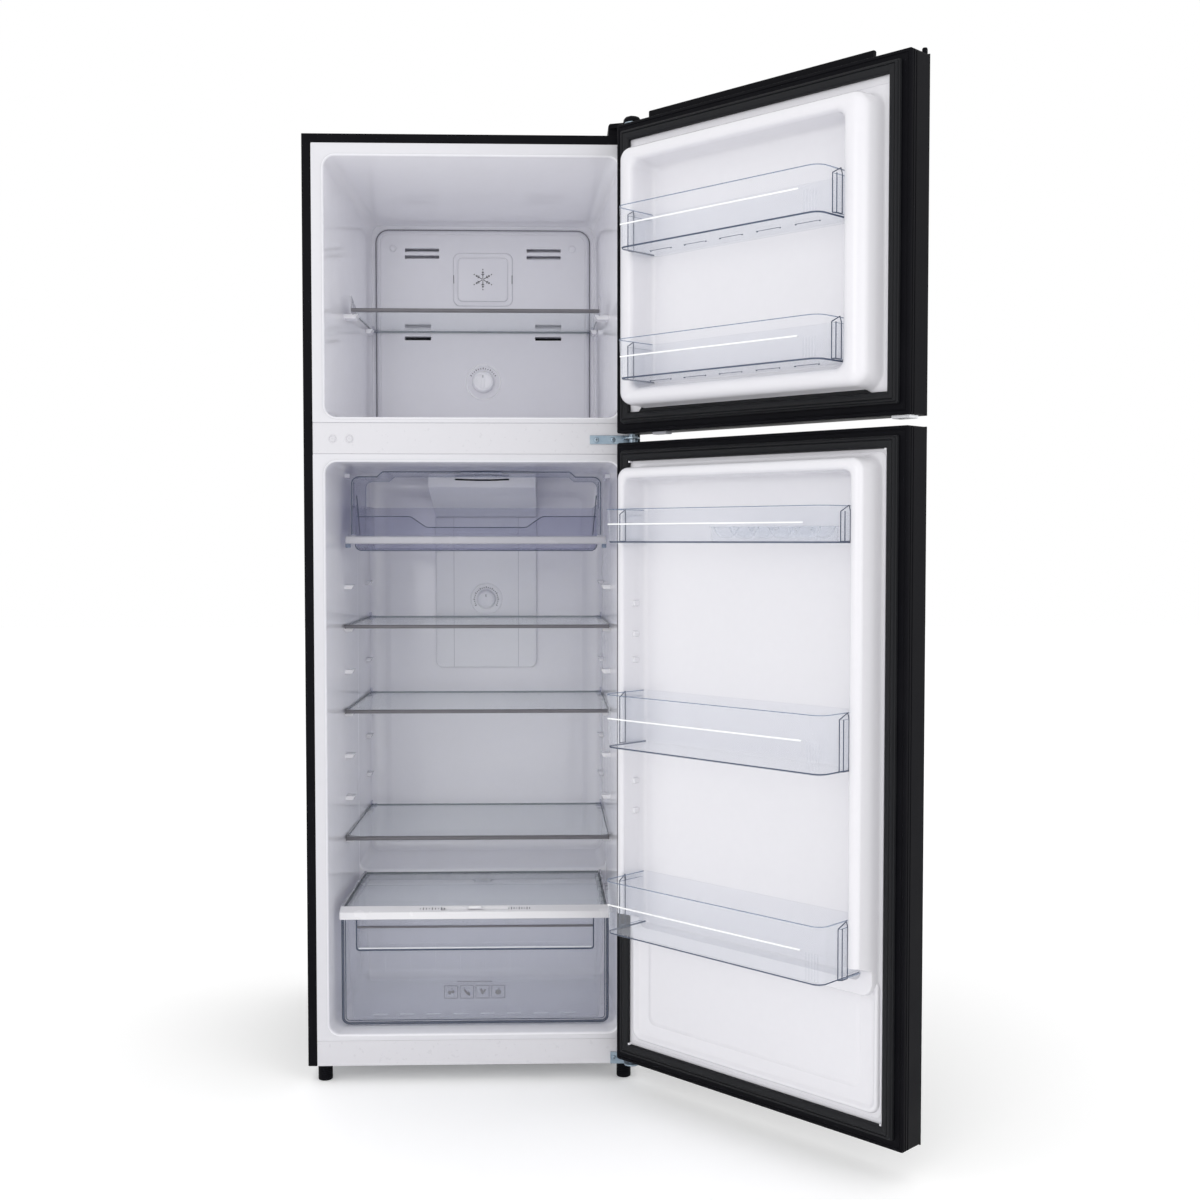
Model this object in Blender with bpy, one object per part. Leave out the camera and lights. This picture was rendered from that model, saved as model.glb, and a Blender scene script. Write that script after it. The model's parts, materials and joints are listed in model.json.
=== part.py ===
"""Top-freezer refrigerator, built from its separate pieces.

All the pieces are drawn in cabinet coordinates: x runs to the right of a person facing the
open front, y runs from the front plane to the back, z runs up from the floor. Both doors
stand open on their right-hand pins. The frame empty moves the whole object so that its
origin is under the middle of its box.
"""
from math import cos, pi, radians, sin

import bmesh
import bpy
from mathutils import Matrix, Vector

# Driving dimensions, in metres
WIDTH = 0.600
DEPTH = 0.600
TOP = 1.700
BOTTOM = 0.030
SHEET = 0.0012
EDGE_STRIP = 0.016
REAR_FLANGE = 0.012
GAP = 0.0003
PLASTIC = 0.002
HALF = WIDTH / 2
SHELL_INSIDE = HALF - SHEET - GAP

# Front face, bottom to top
TOE_TOP = 0.0755
FRIDGE_FLOOR = 0.0871
FRIDGE_CEILING = 1.1211
RAIL_BOTTOM = 1.135
RAIL_TOP = 1.191
FREEZER_FLOOR = 1.2014
FREEZER_CEILING = 1.6618
OPENING_HALF = 0.262
FLANGE_HALF = HALF - EDGE_STRIP - GAP

# Compressor space behind and below the hump
MACHINE_ROOM_FRONT = 0.392
MACHINE_ROOM_ROOF = 0.272
HUMP_TOP = 0.310
COMPRESSOR_X = 0.130
COMPRESSOR_Y = 0.495
ROLLER_X = 0.240
ROLLER_Y = 0.560
ROLLER_RADIUS = 0.0145
FOOT_X = 0.272
FOOT_Y = 0.020

# Doors, in their closed place
PIN_X = 0.2837
PIN_Y = -0.0347
DOOR_OPEN = radians(134)
DOOR_INNER_Y = -0.0125
DOOR_OUTER_Y = -0.0645
PANEL_THICKNESS = 0.004
FRAME_WALL = 0.010
DOOR_FLOOR_Y = -0.0085
DYKE_TOP_Y = 0.043
FREEZER_DOOR = (1.1695, 1.708)
FRIDGE_DOOR = (0.052, 1.153)
RIB_TOP = 1.733
HINGE_PIN_RADIUS = 0.005
BIN_CORNER = 0.022
FREEZER_BIN_HALF = 0.2085
FREEZER_BIN_FRONT = 0.090
FREEZER_BINS = ((1.465, 1.537), (1.249, 1.317))
FRIDGE_BIN_HALF = 0.227
FRIDGE_BIN_FRONT = 0.100
FRIDGE_BINS = ((0.976, 1.034), (0.630, 0.722), (0.3135, 0.405))

# Inside the freezer
COVER_Y = 0.4225
COVER_HALF = 0.219
COVER_TOP = 1.618
FREEZER_BACK = 0.535
FREEZER_SHELF = 1.4116
FREEZER_DIAL_Z = 1.3076
FAN_Z = 1.5175

# Inside the refrigerator compartment
FRIDGE_BACK = 0.545
DUCT_FACE = 0.530
DUCT_HALF = 0.108
FRIDGE_DIAL_Z = 0.855
LUG_BASE = 0.416
LUG_PITCH = 0.0808
LUG_COUNT = 7
FRIDGE_SHELVES = (0.416, 0.6584, 0.820)
GLASS = 0.004
TRIM_Y = 0.008

# Chiller and crisper
CHILLER_FRONT = 0.130
CHILLER_BACK = 0.420
CHILLER_FLOOR = 0.9615
CHILLER_RIM = 1.048
CHILLER_HALF = 0.227
HOUSING_HALF = 0.2345
CRISPER_FRONT = 0.044
CRISPER_TOP = 0.287
CRISPER_FLOOR = 0.0905
CRISPER_HALF = 0.2456
SLIDER_SLOT = 0.062

# Liner sections from front to back: depth, half width, floor, ceiling, corner radius
FREEZER_STATIONS = (
    (0.0, OPENING_HALF + 0.0035, FREEZER_FLOOR - 0.0035, FREEZER_CEILING + 0.0035, 0.0235),
    (0.0045, OPENING_HALF, FREEZER_FLOOR, FREEZER_CEILING, 0.020),
    (COVER_Y, 0.2285, FREEZER_FLOOR, 1.6275, 0.018),
    (FREEZER_BACK, 0.2225, FREEZER_FLOOR, 1.6225, 0.016),
)
FRIDGE_STATIONS = (
    (0.0, OPENING_HALF + 0.0035, FRIDGE_FLOOR - 0.0035, FRIDGE_CEILING + 0.0035, 0.0235),
    (0.0045, OPENING_HALF, FRIDGE_FLOOR, FRIDGE_CEILING, 0.020),
    (0.157, 0.2535, FRIDGE_FLOOR + 0.001, 1.1195, 0.018),
    (0.350, 0.2510, FRIDGE_FLOOR + 0.002, 1.118, 0.016),
    (0.354, 0.2510, HUMP_TOP, 1.118, 0.016),
    (FRIDGE_BACK, 0.2485, HUMP_TOP + 0.002, 1.116, 0.016),
)

MATERIALS = {
    "black_steel": ((0.012, 0.012, 0.014), 0.42, 0.0),
    "black_plastic": ((0.014, 0.014, 0.016), 0.5, 0.0),
    "grey_steel": ((0.42, 0.43, 0.45), 0.5, 0.6),
    "zinc_steel": ((0.42, 0.52, 0.60), 0.32, 1.0),
    "white_plastic": ((0.76, 0.76, 0.80), 0.25, 0.0),
    "white_steel": ((0.80, 0.80, 0.82), 0.35, 0.0),
    "clear_plastic": ((0.75, 0.80, 0.86), 0.08, 0.0),
    "shelf_glass": ((0.55, 0.66, 0.62), 0.04, 0.0),
    "grey_plastic": ((0.25, 0.25, 0.27), 0.4, 0.0),
    "light_trim": ((0.66, 0.66, 0.69), 0.35, 0.0),
    "foam": ((0.80, 0.72, 0.45), 0.9, 0.0),
    "aluminium": ((0.78, 0.79, 0.80), 0.35, 1.0),
    "gasket_rubber": ((0.010, 0.010, 0.011), 0.6, 0.0),
    "compressor_paint": ((0.010, 0.010, 0.011), 0.35, 0.3),
    "copper": ((0.72, 0.35, 0.20), 0.3, 1.0),
    "tyre_plastic": ((0.03, 0.03, 0.03), 0.6, 0.0),
}


# Shapes: each is a list of points with a list of faces

def rounded(u0, u1, v0, v1, radius, steps=3):
    """A rectangle with round corners, anticlockwise; radius is one value or four,
    for the corners (u1, v0), (u1, v1), (u0, v1) and (u0, v0)."""
    radii = radius if isinstance(radius, tuple) else (radius,) * 4
    corners = (
        (u1 - radii[0], v0 + radii[0]),
        (u1 - radii[1], v1 - radii[1]),
        (u0 + radii[2], v1 - radii[2]),
        (u0 + radii[3], v0 + radii[3]),
    )
    outline = []
    for turn, (cu, cv) in enumerate(corners):
        for step in range(steps + 1):
            angle = pi / 2 * (turn - 1 + step / steps)
            outline.append((cu + radii[turn] * cos(angle), cv + radii[turn] * sin(angle)))
    return outline


def arc(cx, cy, radius, start, end, steps):
    """Points along an arc, with angles in degrees."""
    angles = [radians(start + (end - start) * i / steps) for i in range(steps + 1)]
    return [(cx + radius * cos(a), cy + radius * sin(a)) for a in angles]


def upright(outline, y):
    """Stand an (x, z) outline up at depth y."""
    return [(u, y, v) for u, v in outline]


def level(outline, z):
    """Lay an (x, y) outline flat at height z."""
    return [(u, v, z) for u, v in outline]


def sideways(outline, x):
    """Stand a (y, z) outline at width x."""
    return [(x, u, v) for u, v in outline]


def loft(rings, loop=False):
    """Join rings of equally many points; the ends are closed unless the rings form a loop."""
    count = len(rings[0])
    points = [p for ring in rings for p in ring]
    spans = [(i, i + 1) for i in range(len(rings) - 1)]
    if loop:
        spans.append((len(rings) - 1, 0))
    faces = []
    for a, b in spans:
        for i in range(count):
            j = (i + 1) % count
            faces.append((a * count + i, a * count + j, b * count + j))
            faces.append((a * count + i, b * count + j, b * count + i))
    if not loop:
        last = (len(rings) - 1) * count
        faces.append(tuple(range(count)))
        faces.append(tuple(last + i for i in reversed(range(count))))
    return points, faces


def box(x0, x1, y0, y1, z0, z1):
    outline = [(x0, y0), (x1, y0), (x1, y1), (x0, y1)]
    return loft([level(outline, z0), level(outline, z1)])


def mirrored_boxes(x0, x1, y0, y1, z0, z1):
    """A box and its twin on the other side of the cabinet."""
    return combine(box(x0, x1, y0, y1, z0, z1), box(-x1, -x0, y0, y1, z0, z1))


def turned(profile, steps, loop=False):
    """Turn (radius, height) points about the z axis."""
    angles = [2 * pi * i / steps for i in range(steps)]
    rings = [[(r * cos(a), r * sin(a), h) for a in angles] for r, h in profile]
    return loft(rings, loop)


def combine(*shapes):
    points = []
    faces = []
    for shape_points, shape_faces in shapes:
        base = len(points)
        points += shape_points
        faces += [tuple(base + i for i in face) for face in shape_faces]
    return points, faces


def moved(shape, matrix):
    points, faces = shape
    return [tuple(matrix @ Vector(p)) for p in points], faces


def shifted(shape, x, y, z):
    return moved(shape, Matrix.Translation((x, y, z)))


def facing_front(shape, x, y, z):
    """Lay a turned shape's axis along y, its height running towards the front."""
    return moved(shape, Matrix.Translation((x, y, z)) @ Matrix.Rotation(pi / 2, 4, "X"))


def facing_side(shape, x, y, z):
    """Lay a turned shape's axis along x."""
    return moved(shape, Matrix.Translation((x, y, z)) @ Matrix.Rotation(pi / 2, 4, "Y"))


# Objects

def clear_scene():
    for item in list(bpy.data.objects):
        bpy.data.objects.remove(item, do_unlink=True)


def make_material(name):
    colour, roughness, metallic = MATERIALS[name]
    material = bpy.data.materials.new(name)
    material.use_nodes = True
    shader = material.node_tree.nodes["Principled BSDF"]
    shader.inputs["Base Color"].default_value = (*colour, 1.0)
    shader.inputs["Roughness"].default_value = roughness
    shader.inputs["Metallic"].default_value = metallic
    return material


def make_empty(name, location, parent=None, turn=0.0):
    empty = bpy.data.objects.new(name, None)
    bpy.context.collection.objects.link(empty)
    empty.parent = parent
    empty.location = location
    empty.rotation_euler = (0.0, 0.0, turn)
    return empty


def make_object(name, shape, parent, material=None, location=(0.0, 0.0, 0.0)):
    points, faces = shape
    mesh = bpy.data.meshes.new(name)
    mesh.from_pydata(points, [], faces)
    bm = bmesh.new()
    bm.from_mesh(mesh)
    bmesh.ops.recalc_face_normals(bm, faces=bm.faces)
    bm.to_mesh(mesh)
    bm.free()
    mesh.shade_smooth()
    mesh.set_sharp_from_angle(angle=radians(35))
    item = bpy.data.objects.new(name, mesh)
    bpy.context.collection.objects.link(item)
    item.parent = parent
    item.location = location
    if material:
        mesh.materials.append(make_material(material))
    return item


def use_tool(item, shape, operation):
    """Cut a shape out of an object, or fuse it on."""
    number = len(item.modifiers) + 1
    tool = make_object(f"{item.name}_tool_{number}", shape, item.parent, None, item.location)
    tool.hide_render = True
    tool.display_type = "WIRE"
    modifier = item.modifiers.new(f"{operation.lower()}_{number}", "BOOLEAN")
    modifier.operation = operation
    modifier.object = tool
    modifier.solver = "EXACT"


def cut(item, *shapes):
    for shape in shapes:
        use_tool(item, shape, "DIFFERENCE")


def fuse(item, *shapes):
    for shape in shapes:
        use_tool(item, shape, "UNION")


def tube(route, radius, normal, sides=6):
    """A round bar along a route that lies in the plane with the given normal."""
    points = [Vector(p) for p in route]
    normal = Vector(normal)
    rings = []
    for i, place in enumerate(points):
        ahead = points[min(i + 1, len(points) - 1)]
        behind = points[max(i - 1, 0)]
        aside = (ahead - behind).normalized().cross(normal)
        angles = [2 * pi * k / sides for k in range(sides)]
        rings.append([tuple(place + radius * (cos(a) * aside + sin(a) * normal)) for a in angles])
    return loft(rings)


def serpentine(x0, x1, y, z0, pitch, passes):
    """Runs along x, one above another, joined by half-round bends."""
    radius = pitch / 2
    route = []
    for i in range(passes):
        z = z0 + pitch * i
        ends = (x0, x1) if i % 2 == 0 else (x1, x0)
        route.append((ends[0], y, z))
        route.append((ends[1], y, z))
        if i < passes - 1:
            side = 1 if ends[1] > ends[0] else -1
            for step in range(1, 4):
                angle = -pi / 2 + pi * step / 4
                bend_x = ends[1] + side * radius * cos(angle)
                route.append((bend_x, y, z + radius + radius * sin(angle)))
    return route


# Cabinet

def outer_shell(frame):
    """Side walls and top from one folded sheet, with a strip turned in at the front and back."""
    section = (
        (0, 0), (DEPTH, 0), (DEPTH, REAR_FLANGE), (DEPTH - SHEET, REAR_FLANGE),
        (DEPTH - SHEET, SHEET), (SHEET, SHEET), (SHEET, EDGE_STRIP), (0, EDGE_STRIP),
    )
    corners = ((-HALF, BOTTOM, 1, 0), (-HALF, TOP, 1, -1), (HALF, TOP, -1, -1), (HALF, BOTTOM, -1, 0))
    rings = [[(x + n * dx, y, z + n * dz) for y, n in section] for x, z, dx, dz in corners]
    return make_object("outer_shell", loft(rings), frame, "black_steel")


def back_panel(frame):
    edge = REAR_FLANGE - 0.002
    shape = box(-HALF + edge, HALF - edge, DEPTH + GAP, DEPTH + GAP + 0.0008, 0.2645, TOP - edge)
    return make_object("back_panel", shape, frame, "grey_steel")


def base_panel(frame):
    """Bent sheet: floor of the cabinet, front wall and roof of the compressor space."""
    front, roof = MACHINE_ROOM_FRONT, MACHINE_ROOM_ROOF
    back = DEPTH - SHEET - 2 * GAP
    outline = (
        (0.003, BOTTOM), (front + SHEET, BOTTOM), (front + SHEET, roof - SHEET),
        (back, roof - SHEET), (back, roof), (front, roof),
        (front, BOTTOM + SHEET), (0.003, BOTTOM + SHEET),
    )
    shape = loft([sideways(outline, -SHELL_INSIDE), sideways(outline, SHELL_INSIDE)])
    item = make_object("base_panel", shape, frame, "grey_steel")
    hole = turned([(0.0046, BOTTOM - 0.005), (0.0046, BOTTOM + 0.005)], 12)
    cut(item, combine(shifted(hole, FOOT_X, FOOT_Y, 0), shifted(hole, -FOOT_X, FOOT_Y, 0)))
    return item


def station_outline(station, offset):
    _, half, floor, ceiling, radius = station
    return rounded(-half - offset, half + offset, floor - offset, ceiling + offset, radius + offset)


def liner_outside(stations, extra):
    """Rings of a liner's hidden side, pushed out by its thickness and an extra distance."""
    offset = PLASTIC + extra
    return [upright(station_outline(s, offset), s[0] + offset) for s in stations]


def liner_shape(stations, flange_bottom, flange_top):
    """A thin drawn tub with a flat flange round its mouth."""
    inside = [upright(station_outline(s, 0.0), s[0]) for s in stations]
    flange = rounded(-FLANGE_HALF, FLANGE_HALF, flange_bottom, flange_top, 0.002)
    outside = liner_outside(stations, 0.0)
    rings = list(reversed(inside)) + [upright(flange, 0.0), upright(flange, PLASTIC)] + outside
    return loft(rings)


def half_width_at(stations, y):
    for near, far in zip(stations, stations[1:]):
        if near[0] <= y <= far[0]:
            share = (y - near[0]) / (far[0] - near[0])
            return near[1] + (far[1] - near[1]) * share
    return stations[-1][1]


def wall_ledge(stations, y, inner, z0, z1, length, root=0.0008):
    """A ledge on both side walls, from inside the wall's thickness to the given half width."""
    wall = half_width_at(stations, y + length / 2) + root
    return mirrored_boxes(inner, wall, y - length / 2, y + length / 2, z0, z1)


def freezer_liner(frame):
    top = TOP - EDGE_STRIP - GAP
    item = make_object("freezer_liner", liner_shape(FREEZER_STATIONS, RAIL_TOP + GAP, top), frame,
                       "white_plastic")
    under = FREEZER_SHELF - GLASS - GAP
    fuse(item, wall_ledge(FREEZER_STATIONS, 0.175, 0.224, under - 0.009, under, 0.030))
    fuse(item, wall_ledge(FREEZER_STATIONS, 0.375, 0.220, under - 0.009, under, 0.030))
    return item


def fridge_liner(frame):
    item = make_object("fridge_liner", liner_shape(FRIDGE_STATIONS, TOE_TOP + GAP, RAIL_BOTTOM), frame,
                       "white_plastic")
    for depth in (0.185, 0.475):
        ledges = []
        for i in range(LUG_COUNT):
            under = LUG_BASE + LUG_PITCH * i - GLASS - GAP
            ledges.append(wall_ledge(FRIDGE_STATIONS, depth, 0.2400, under - 0.008, under, 0.024))
        fuse(item, combine(*ledges))
    cover_under = CRISPER_TOP + 0.0047
    ledges = [
        wall_ledge(FRIDGE_STATIONS, 0.120, 0.2425, cover_under - 0.010, cover_under, 0.024),
        wall_ledge(FRIDGE_STATIONS, 0.300, 0.2405, cover_under - 0.010, cover_under, 0.024),
        wall_ledge(FRIDGE_STATIONS, 0.240, 0.2430, 1.100, 1.1085 - GAP, 0.120, 0.0),
    ]
    fuse(item, combine(*ledges))
    return item


def cabinet_foam(frame):
    """Foam between the shell and the liners, open where the liners and machinery are."""
    front = PLASTIC + 2 * GAP
    shape = box(-SHELL_INSIDE, SHELL_INSIDE, front, DEPTH - SHEET - GAP, 0.055, TOP - SHEET - GAP)
    item = make_object("cabinet_foam", shape, frame, "foam")
    for stations in (FREEZER_STATIONS, FRIDGE_STATIONS):
        rings = liner_outside(stations, GAP)
        mouth = [(x, -0.010, z) for x, _, z in rings[0]]
        cut(item, loft([mouth] + rings))
    room = box(-HALF, HALF, MACHINE_ROOM_FRONT - GAP, DEPTH + 0.01, 0.0, MACHINE_ROOM_ROOF + GAP)
    cut(item, room)
    return item


def centre_rail_cover(frame):
    """White strip on the rail between the two compartments."""
    shape = box(-FLANGE_HALF, FLANGE_HALF, 0.0, PLASTIC, RAIL_BOTTOM + GAP, RAIL_TOP)
    return make_object("centre_rail_cover", shape, frame, "white_plastic")


def toe_plate(frame):
    shape = box(-FLANGE_HALF, FLANGE_HALF, 0.0, SHEET, BOTTOM, TOE_TOP)
    return make_object("toe_plate", shape, frame, "white_steel")


# Freezer inside

def slot_row(half_lengths, heights, y0, y1):
    """Cutters for level slots, mirrored about the middle."""
    shapes = []
    for (x0, x1), z in zip(half_lengths, heights):
        for a, b in ((x0, x1), (-x1, -x0)):
            outline = rounded(a, b, z - 0.004, z + 0.004, 0.0038, 2)
            shapes.append(loft([upright(outline, y0), upright(outline, y1)]))
    return combine(*shapes)


def evaporator_cover(frame):
    """Hollow cover in front of the cooling coil, with air slots and a hole for the dial."""
    wall = 0.0025
    floor = FREEZER_FLOOR + GAP
    back = FREEZER_BACK - GAP

    def outline(inset, radius):
        return rounded(-COVER_HALF + inset, COVER_HALF - inset, floor + inset, COVER_TOP - inset, radius)

    rings = [
        upright(outline(0.0015, 0.0185), COVER_Y),
        upright(outline(0.0, 0.020), COVER_Y + 0.0015),
        upright(outline(0.0, 0.016), back),
        upright(outline(wall, 0.0135), back),
        upright(outline(wall, 0.0175), COVER_Y + wall),
    ]
    item = make_object("evaporator_cover", loft(rings), frame, "white_plastic")
    upper = ((0.090, 0.160),) * 2
    lower = ((0.107, 0.161),) * 2
    cut(item, slot_row(upper + lower, (1.577, 1.563, 1.422, 1.397), COVER_Y - 0.01, COVER_Y + 0.01))
    hole = turned([(0.0036, -0.01), (0.0036, 0.01)], 12)
    cut(item, facing_front(hole, 0.0, COVER_Y, FREEZER_DIAL_Z))
    return item


def evaporator_coil(frame):
    """Cooling tube with its fins."""
    route = serpentine(-0.165, 0.165, 0.485, 1.256, 0.042, 4)
    item = make_object("evaporator_coil", tube(route, 0.004, (0, 1, 0)), frame, "aluminium")
    fins = [box(-0.150 + 0.050 * i, -0.149 + 0.050 * i, 0.460, 0.512, 1.236, 1.404) for i in range(7)]
    fuse(item, combine(*fins))
    return item


def fan_motor(frame):
    """Motor can with its shaft and the three-legged bracket that stands on the cover."""
    can = turned([(0.020, -0.490), (0.022, -0.487), (0.022, -0.458), (0.020, -0.456)], 16)
    item = make_object("fan_motor", facing_front(can, 0.0, 0.0, FAN_Z), frame, "black_plastic")
    shaft = turned([(0.002, -0.4565), (0.002, -0.442)], 8)
    fuse(item, facing_front(shaft, 0.0, 0.0, FAN_Z))
    foot = -(COVER_Y + 0.0025 + GAP)
    leg = [(0.018, -0.472), (0.066, -0.472), (0.066, foot), (0.062, foot), (0.062, -0.468), (0.018, -0.468)]
    bent = loft([[(x, -0.004, z) for x, z in leg], [(x, 0.004, z) for x, z in leg]])
    for turn in (90, 210, 330):
        fuse(item, facing_front(moved(bent, Matrix.Rotation(radians(turn), 4, "Z")), 0.0, 0.0, FAN_Z))
    return item


def fan_blade(frame):
    """Hub with five pitched blades, turning on the motor shaft."""
    profile = [(0.0024, -0.010), (0.013, -0.010), (0.013, 0.003), (0.009, 0.006), (0.0024, 0.006)]
    item = make_object("fan_blade", facing_front(turned(profile, 16, True), 0, 0, 0), frame,
                       "grey_plastic", (0.0, 0.444, FAN_Z))
    for i in range(5):
        blade = box(0.011, 0.047, -0.012, 0.012, -0.0008, 0.0008)
        pitch = Matrix.Translation((0, 0, -0.002)) @ Matrix.Rotation(radians(22), 4, "X")
        spin = Matrix.Rotation(radians(72 * i + 12), 4, "Z")
        fuse(item, facing_front(moved(blade, spin @ pitch), 0, 0, 0))
    return item


def defrost_heater(frame):
    """Sheathed heating rod, bent once, under the coil."""
    bend = [(0.180 + 0.015 * cos(a), 0.490 + 0.015 * sin(a), 1.220)
            for a in [radians(-90 + 45 * i) for i in range(5)]]
    route = [(-0.190, 0.475, 1.220)] + bend + [(-0.190, 0.505, 1.220)]
    return make_object("defrost_heater", tube(route, 0.003, (0, 0, 1)), frame, "grey_steel")


def shelf_glass(name, frame, z, front, back, half_front, half_back):
    outline = [(-half_front, front), (half_front, front), (half_back, back), (-half_back, back)]
    shape = loft([level(outline, z - GLASS), level(outline, z)])
    return make_object(name, shape, frame, "shelf_glass")


def shelf_trim(name, frame, z, front, half_front):
    """Strip along the front edge of a shelf."""
    bar = rounded(front - TRIM_Y, front - GAP, z - GLASS - 0.002, z + 0.0015, 0.002, 2)
    shape = loft([sideways(bar, -half_front), sideways(bar, half_front)])
    return make_object(name, shape, frame, "grey_plastic")


def freezer_shelf(frame):
    shelf_glass("freezer_shelf_glass", frame, FREEZER_SHELF, 0.132, 0.420, 0.233, 0.226)
    shelf_trim("freezer_shelf_trim", frame, FREEZER_SHELF, 0.132, 0.233)


def dial(name, frame, face_y, z, radius):
    """Round knob with a raised grip and a stem that goes through the cover behind it."""
    profile = [(0.003, -0.007), (0.003, 0.0), (radius, 0.0), (radius, 0.007), (radius - 0.003, 0.011)]
    item = make_object(name, facing_front(turned(profile, 24), 0, 0, 0), frame, "white_plastic",
                       (0.0, face_y - GAP, z))
    grip = box(-0.0035, 0.0035, -0.018, -0.009, -radius + 0.005, radius - 0.005)
    fuse(item, grip)
    return item


# Refrigerator compartment

def fridge_shelves(frame):
    for i, z in enumerate(FRIDGE_SHELVES):
        shelf_glass(f"fridge_shelf_glass_{i + 1}", frame, z, 0.157, 0.518, 0.2510, 0.2466)
        shelf_trim(f"fridge_shelf_trim_{i + 1}", frame, z, 0.157, 0.2510)


def air_duct_cover(frame):
    """Cover of the cold-air duct: a flat tower, then a slope up to a deep head at the ceiling."""
    wall = PLASTIC
    back = FRIDGE_BACK - 0.0006
    rings = []
    for z, front in ((0.708, DUCT_FACE), (1.035, DUCT_FACE), (1.090, 0.350), (1.1155, 0.350)):
        ring = [
            (-DUCT_HALF, back), (-DUCT_HALF, front), (DUCT_HALF, front), (DUCT_HALF, back),
            (DUCT_HALF - wall, back), (DUCT_HALF - wall, front + wall),
            (-DUCT_HALF + wall, front + wall), (-DUCT_HALF + wall, back),
        ]
        rings.append(level(ring, z))
    item = make_object("air_duct_cover", loft(rings), frame, "white_plastic")
    cut(item, box(-0.055, 0.055, 0.340, 0.356, 1.1020, 1.1065))
    hole = turned([(0.0036, -0.01), (0.0036, 0.01)], 12)
    cut(item, facing_front(hole, 0.0, DUCT_FACE, FRIDGE_DIAL_Z))
    return item


def lamp_lens(frame):
    outline = rounded(-0.040, 0.040, 0.285, 0.340, 0.006, 2)
    shape = loft([level(outline, 1.1125), level(outline, 1.1175)])
    return make_object("lamp_lens", shape, frame, "clear_plastic")


def crisper_cover(frame):
    """Frame over the crisper with a deep front bar, and the glass that lies on it."""
    under, over = CRISPER_TOP + 0.005, CRISPER_TOP + 0.017
    outer = [(-0.2465, 0.030), (0.2465, 0.030), (0.2405, 0.346), (-0.2405, 0.346)]
    inner = [(-0.2330, 0.050), (0.2330, 0.050), (0.2280, 0.330), (-0.2280, 0.330)]
    rings = [level(outer, under), level(outer, over), level(inner, over), level(inner, under)]
    item = make_object("crisper_cover_frame", loft(rings, True), frame, "light_trim")
    bar = rounded(0.0298, 0.0480, CRISPER_TOP + 0.002, 0.310, 0.004, 2)
    fuse(item, loft([sideways(bar, -0.2466), sideways(bar, 0.2466)]))
    cut(item, box(-SLIDER_SLOT, SLIDER_SLOT, 0.0340, 0.0440, 0.307, 0.320))
    glass = [(-0.2395, 0.0485), (0.2395, 0.0485), (0.2350, 0.338), (-0.2350, 0.338)]
    make_object("crisper_cover_glass", loft([level(glass, over + GAP), level(glass, over + GAP + GLASS)]),
                frame, "shelf_glass")


def humidity_slider(frame):
    outline = rounded(-0.012, 0.012, -0.0045, 0.0045, 0.002, 2)
    shape = loft([level(outline, 0.0), level(outline, 0.0045)])
    return make_object("humidity_slider", shape, frame, "grey_plastic", (0.0, 0.0390, 0.3073))


def crisper_drawer(frame):
    """Clear tub with a taller, wider front plate."""
    wall = 0.0025
    front, back = CRISPER_FRONT + 0.006, 0.318

    def outline(shrink):
        near, far = 0.008 - shrink / 2, 0.014 - shrink / 2
        return rounded(-0.238 + shrink, 0.238 - shrink, front + shrink / 2, back - shrink / 2,
                       (near, far, far, near), 2)

    rings = [
        level(outline(0.010), CRISPER_FLOOR + 0.002),
        level(outline(0.0), CRISPER_TOP - 0.001),
        level(outline(wall), CRISPER_TOP - 0.001),
        level(outline(0.010 + wall), CRISPER_FLOOR + 0.002 + wall),
    ]
    item = make_object("crisper_drawer", loft(rings), frame, "clear_plastic")
    plate = rounded(-CRISPER_HALF, CRISPER_HALF, CRISPER_FLOOR, CRISPER_TOP,
                    (0.014, 0.003, 0.003, 0.014))
    fuse(item, loft([upright(plate, CRISPER_FRONT), upright(plate, CRISPER_FRONT + 0.0075)]))
    return item


def chiller_housing(frame):
    """Clear tunnel under the ceiling, with a rail inside each wall for the tray's lips."""
    outer, inner, lip = HOUSING_HALF, HOUSING_HALF - PLASTIC, 0.2278
    top = 1.1105
    section = [
        (0.247, top - PLASTIC), (0.247, top),
        (-0.247, top), (-0.247, top - PLASTIC), (-outer, top - PLASTIC),
        (-outer, 0.992), (-inner, 0.992), (-inner, 1.043), (-lip, 1.043), (-lip, 1.0457),
        (-inner, 1.0457), (-inner, top - PLASTIC),
        (inner, top - PLASTIC), (inner, 1.0457), (lip, 1.0457), (lip, 1.043), (inner, 1.043),
        (inner, 0.992), (outer, 0.992), (outer, top - PLASTIC),
    ]
    shape = loft([upright(section, CHILLER_FRONT + 0.0025), upright(section, 0.345)])
    return make_object("chiller_housing", shape, frame, "clear_plastic")


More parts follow.
